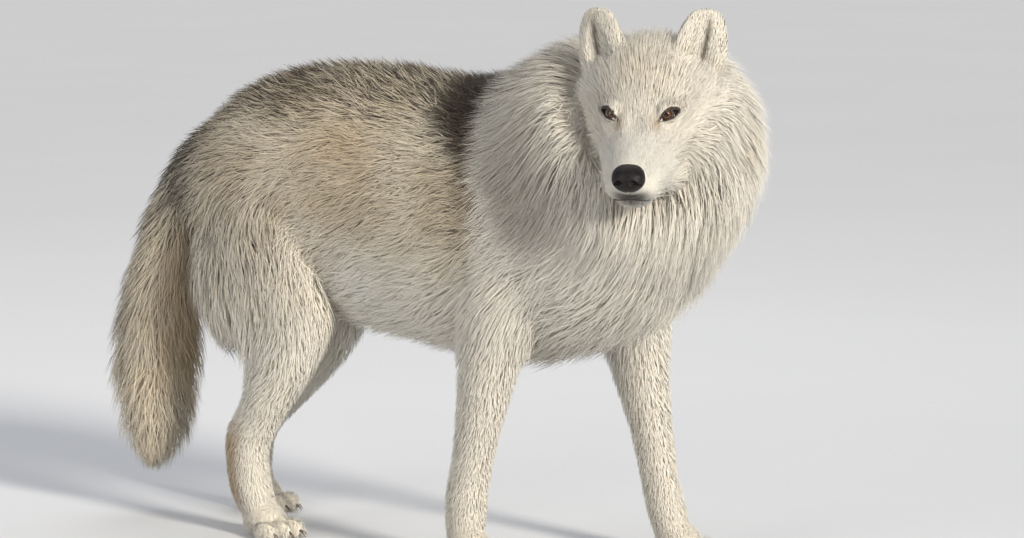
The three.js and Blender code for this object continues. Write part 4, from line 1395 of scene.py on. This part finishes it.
class Tufts:
    """The paths, widths and colours of many tufts, each with the same number of rings."""

    def __init__(self, skin, chosen, cover, rings, soft, wild, wide=1.0, short=1.0, low=1.0):
        corners = skin.faces[chosen]
        a, b, c = [skin.co[corners[:, i]] for i in range(3)]
        area = np.linalg.norm(np.cross(b - a, c - a), axis=1) / 2
        fields = skin.fields[corners].mean(1)
        each = fields[:, 0] * fields[:, 2] * wide * short * MM * MM * EXPECTED_FILL
        weight = np.cumsum(area * cover[chosen] / each)
        count = int(weight[-1])
        picks = (np.arange(count) + random.random(count)) / count * weight[-1]
        at = np.minimum(np.searchsorted(weight, picks), len(chosen) - 1)
        u, v = random.random((2, count))
        flip = u + v > 1
        u, v = np.where(flip, 1 - u, u), np.where(flip, 1 - v, v)
        share = np.stack([1 - u - v, u, v], 1)[:, :, None]
        corners = corners[at]

        def between(values):
            values = values.reshape(len(values), -1)
            return (values[corners] * share).sum(1)

        self.skin, self.rings, self.count, self.soft, self.wild = skin, rings, count, soft, wild
        self.root, self.normal = between(skin.co), unit(between(skin.normal))
        self.lie = unit(between(skin.lie))
        f = between(skin.fields)
        self.length = f[:, 0] * MM * random.uniform(*LENGTHS, count) * short
        self.rise = f[:, 1] * MM * low * np.clip(random.normal(0.86, 0.16, count), 0.4, 1.12)
        self.width = f[:, 2] * MM * wide * random.uniform(*WIDTHS, count)
        self.free, self.gather = f[:, 3], f[:, 4]
        self.colours = [between(values) for values in skin.colours]
        self.patch = self.bake_places(skin.zone[skin.faces[chosen[at]][:, 0]])
        self.comb()
        self.clump()

    def bake_places(self, zone):
        """The middle of each tuft's patch on the unwrap of the skin: along and round its zone."""
        middle = np.zeros((self.count, 2))
        for i in np.unique(zone):
            mine = zone == i
            t, angle, _ = tubes[ZONES[i]].nearest(self.root[mine])
            u0, v0, u1, v1 = EAR_PATCHES.get(ZONES[i], (0, 0, 1, 1))
            flat = np.stack([t, (angle + math.pi) / (2 * math.pi)], 1)
            middle[mine] = np.array([u0, v0]) + flat * (u1 - u0, v1 - v0)
        return 0.01 + 0.98 * middle

    def comb(self):
        """Each path goes along the lie of the coat, over the skin, and rises from it."""
        tree, faces = self.skin.tree, self.skin.faces
        lie_of = unit(self.skin.lie[faces].mean(1))
        stray = 0.20 * self.wild
        wander = np.stack([cloud(self.root, 0.03, s) for s in (21, 22, 23)], 1)
        wander += 0.5 * np.stack([cloud(self.root, 0.011, s) for s in (24, 25, 26)], 1)
        odd = random.normal(0, 1, (self.count, 3)) * 0.12 * self.wild
        bend = wander * stray + odd
        place, normal = self.root, self.normal
        lie = unit(self.lie + bend)
        self.paths = [self.root - self.normal * ROOT_DEPTH * MM]
        self.normals = [normal]
        flight = self.root.copy()
        for k in range(1, self.rings + 1):
            step = (self.length / self.rings)[:, None]
            flight = flight + lie * step
            place = place + lie * step
            found = [tree.find_nearest(p) for p in place]
            place = rows([f[0] for f in found])
            under = rows([f[1] for f in found])
            index = np.array([f[2] for f in found])
            share = k / self.rings
            height = (self.rise * share**0.8)[:, None]
            out = unit(mix(under, normal, 0.5))
            on = place + out * height
            off = flight + normal * height
            self.paths.append(mix(on, off, self.free))
            self.normals.append(unit(mix(out, normal, self.free)))
            normal = out
            lie = lie_of[index] + bend * (1 + 0.5 * share)
            lie = unit(lie - out * (lie * out).sum(1)[:, None])
        self.paths = np.stack(self.paths, 1)
        self.normals = np.stack(self.normals, 1)

    def clump(self):
        """Tufts lean to the nearest leader, so that the coat parts in locks."""
        for spacing, pull in CLUMPS:
            leaders = np.flatnonzero(random.random(self.count) < 1 / (spacing * spacing))
            tree = KDTree(len(leaders))
            for i, leader in enumerate(leaders):
                tree.insert(self.root[leader], i)
            tree.balance()
            mine = leaders[[tree.find(p)[1] for p in self.root]]
            apart = np.linalg.norm(self.root - self.root[mine], axis=1)
            near = np.clip(1 - apart / (self.length * 0.6), 0, 1)
            strength = pull * self.gather / 0.5 * near * random.uniform(0.5, 1.1, self.count)
            for k in range(1, self.rings + 1):
                share = (k / self.rings) ** 1.3
                drawn = np.clip(strength * share, 0, 0.9)
                self.paths[:, k] = mix(self.paths[:, k], self.paths[mine, k], drawn)
        self.paths[:, :, 2] = np.maximum(self.paths[:, :, 2], LOWEST * MM)

    def dress(self, name, material):
        """Builds the piece from the paths."""
        n, rings = self.count, self.rings
        each = 3 * rings + 1
        co, tint, facing, strand = np.zeros((4, n, each, 3))
        uv = np.zeros((n, each, 2))
        own = random.uniform(0, 900, n)
        root, mid, tip, dark = self.colours
        black = random.random(n) < dark[:, 0]
        vary = 0.02 + 0.02 * self.wild
        pale = 1 + random.normal(0, vary, (n, 1)) + 0.04 * cloud(self.root, 0.016, 31)[:, None]
        twist = random.normal(0, 0.45, n)
        stops = np.linspace(0, 1, rings + 1)
        for k in range(rings + 1):
            s = stops[k]
            if s < MIDDLE:
                colour = mix(root, mid, s / MIDDLE)
            else:
                colour = mix(mid, tip, (s - MIDDLE) / (1 - MIDDLE))
            darkened = mix(colour, DARK, smooth(s, 0.12, 0.55) * 0.95)
            colour = np.where(black[:, None], darkened, colour) * pale
            low, high = max(k - 1, 0), min(k + 1, rings)
            along = unit(self.paths[:, high] - self.paths[:, low])
            normal = self.normals[:, k]
            across = unit(np.cross(normal, along))
            over = np.cross(along, across)
            cos, sin = np.cos(twist)[:, None], np.sin(twist)[:, None]
            across, over = across * cos + over * sin, over * cos - across * sin
            fibre = self.length * s / FIBRE_LENGTH
            if k == rings:
                co[:, -1], tint[:, -1], facing[:, -1] = self.paths[:, k], colour, normal
                strand[:, -1] = np.stack([own, fibre, own], 1)
                uv[:, -1] = self.patch + (0, PATCH / 2)
                continue
            half = (self.width * SHARES[rings][k] / 2)[:, None]
            for j, (wide, high_up) in enumerate(((-1, 0), (1, 0), (0, 0.75))):
                co[:, 3 * k + j] = self.paths[:, k] + across * half * wide + over * half * high_up
                tint[:, 3 * k + j] = colour
                wander = (wide + (j == 2) * 0.01) * self.width / 2 / FIBRE_WIDTH
                strand[:, 3 * k + j] = np.stack([own + wander, fibre, own], 1)
                out = across * wide + over * (2 * high_up - 0.4)
                facing[:, 3 * k + j] = unit(mix(unit(out), normal, self.soft))
                uv[:, 3 * k + j] = self.patch + (wide * PATCH / 2, PATCH * (s - 0.5))
        every = (tuft_faces(rings)[None] + (np.arange(n) * each)[:, None, None]).reshape(-1, 3)
        co[:, :, 2] = np.maximum(co[:, :, 2], 0.5 * MM)
        data = bpy.data.meshes.new(name)
        data.vertices.add(n * each)
        data.vertices.foreach_set("co", co.astype(np.float32).ravel())
        data.loops.add(len(every) * 3)
        data.loops.foreach_set("vertex_index", every.astype(np.int32).ravel())
        data.polygons.add(len(every))
        data.polygons.foreach_set("loop_start", np.arange(0, len(every) * 3, 3, dtype=np.int32))
        data.update(calc_edges=True)
        give_tint(data, np.clip(tint.reshape(-1, 3), 0, 0.95))
        layer = data.attributes.new("strand", "FLOAT_VECTOR", "POINT")
        layer.data.foreach_set("vector", strand.astype(np.float32).ravel())
        data.normals_split_custom_set_from_vertices(facing.reshape(-1, 3))
        bake = data.uv_layers.new(name="OFBake")
        bake.data.foreach_set("uv", uv.reshape(-1, 2)[every.ravel()].astype(np.float32).ravel())
        made = new_piece(name, data)
        data.materials.append(material)
        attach(made, "root")


# How many layers of tufts cover the skin of a zone.
COVER = {
    "trunk": 2.3,
    "neck": 7.2,
    "tail": 5.6,
    "skull": 6.0,
    "fore_right": 2.3,
    "fore_left": 2.3,
    "hind_right": 3.2,
    "hind_left": 1.8,
    "ear_left": 2.0,
    "ear_right": 2.0,
}
LEFT_TRUNK_COVER, FACE_COVER, LOW_LEG_COVER, WOOL_COVER = 1.85, 2.15, 1.25, 1.3
FACE_FROM = -20  # the head's x at which the face begins
TEAR_CORNER = (24, 28, -7), (6, 3.5, 5)
# Pieces of the coat: how unruly each is, how softly it is lit, and how many rings a tuft has.
PIECES = {
    "coat_back_right": (2.0, SOFTNESS, 2),
    "coat_back_left": (2.0, SOFTNESS, 2),
    "coat_mane_right": (1.0, SOFTNESS, 2),
    "coat_mane_left": (1.0, SOFTNESS, 2),
    "coat_tail": (1.4, SOFTNESS, 3),
    "coat_hind_right": (1.4, SOFTNESS, 2),
    "coat_hind_left": (1.4, SOFTNESS, 2),
    "coat_fore_right": (0.45, SHORT_SOFTNESS, 2),
    "coat_fore_left": (0.45, SHORT_SOFTNESS, 2),
    "coat_face": (0.8, SHORT_SOFTNESS, 2),
    "coat_crown": (0.7, SOFTNESS, 2),
    "coat_ears": (0.55, SHORT_SOFTNESS, 2),
}
WOOL = {"wide": 3.2, "short": 0.7, "low": 0.52}


def is_bare(face, height):
    """No hair grows inside the lids, on the nose pad, on the lips' edge or on the soles."""
    mirror = np.abs(face) * (0, 1, 0) + face * (1, 0, 1)
    tear = (mirror - TEAR_CORNER[0]) / TEAR_CORNER[1]
    nose = (face - np.array(NOSE_AT)) / NOSE_RADII
    off_lips = np.min([((face - p) ** 2).sum(1) for p in mouth_line()], axis=0)
    bare = around_eye(face, 0.8, 1.2) < 1
    bare |= (tear * tear).sum(1) < 1
    bare |= (nose * nose).sum(1) < 1.0
    bare |= off_lips < (2.2 - 1.1 * smooth(np.abs(face[:, 1]), 22, 40)) ** 2
    return bare | (height < 0.004)


def make_coat(skin, material):
    centre = skin.co[skin.faces].mean(1)
    zone = skin.zone[skin.faces[:, 0]]
    local = placed(BODY.inverted(), centre)
    face = placed(FACE.inverted(), centre) / MM
    is_in = {name: zone == i for i, name in enumerate(ZONES)}
    left = local[:, 1] > 0
    front = face[:, 0] > FACE_FROM
    cover = np.array([COVER[name] for name in ZONES])[zone]
    cover[left & is_in["trunk"]] = LEFT_TRUNK_COVER
    cover[is_in["skull"] & front] = FACE_COVER
    for leg in LEGS:
        cover[is_in[leg] & (local[:, 2] < 0.33)] = LOW_LEG_COVER
    cover[is_bare(face, local[:, 2])] = 0
    # The parts of the skin come in the order of PIECES.
    parts = [is_in[name] & half for name in ("trunk", "neck") for half in (~left, left)]
    parts += [is_in[name] for name in ("tail", "hind_right", "hind_left", "fore_right", "fore_left")]
    parts += [is_in["skull"] & front, is_in["skull"] & ~front, is_in["ear_left"] | is_in["ear_right"]]
    for (name, (wild, soft, rings)), part in zip(PIECES.items(), parts):
        chosen = np.flatnonzero(part & (cover > 0))
        Tufts(skin, chosen, cover, rings, soft, wild).dress(name, material)
    # Wide, low tufts of wool lie under the long coat.
    deep = is_in["trunk"] | is_in["neck"] | is_in["tail"] | is_in["hind_right"] | is_in["hind_left"]
    deep |= is_in["skull"] & (face[:, 0] < -10)
    chosen = np.flatnonzero(deep & (local[:, 2] > 0.3) & (cover > 0))
    wool = Tufts(skin, chosen, 0 * cover + WOOL_COVER, 2, SOFTNESS, 1.4, **WOOL)
    wool.dress("coat_wool", material)


make_studio()
skin = make_skin()
skin.data.materials.clear()
skin.data.materials.append(skin_material())
skin.data.shade_smooth()
FLESH = [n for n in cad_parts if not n.startswith("eye_") and n != "nose"]
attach(skin, "root")
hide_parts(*FLESH)
make_hard_parts()
flesh = Skin(skin)
*flesh.colours, bare = markings(flesh)
# The skin takes the coat's colour, a little darker as painted shade under the coat.
give_tint(skin.data, bare * SKIN_SHADE)
make_coat(flesh, hair_material())

bm = bmesh.new()
bmesh.ops.create_grid(bm, x_segments=2, y_segments=2, size=60)
ground = new_piece("floor", bpy.data.meshes.new("floor"))
bm.to_mesh(ground.data)
bm.free()
ground.data.materials.append(floor_material())
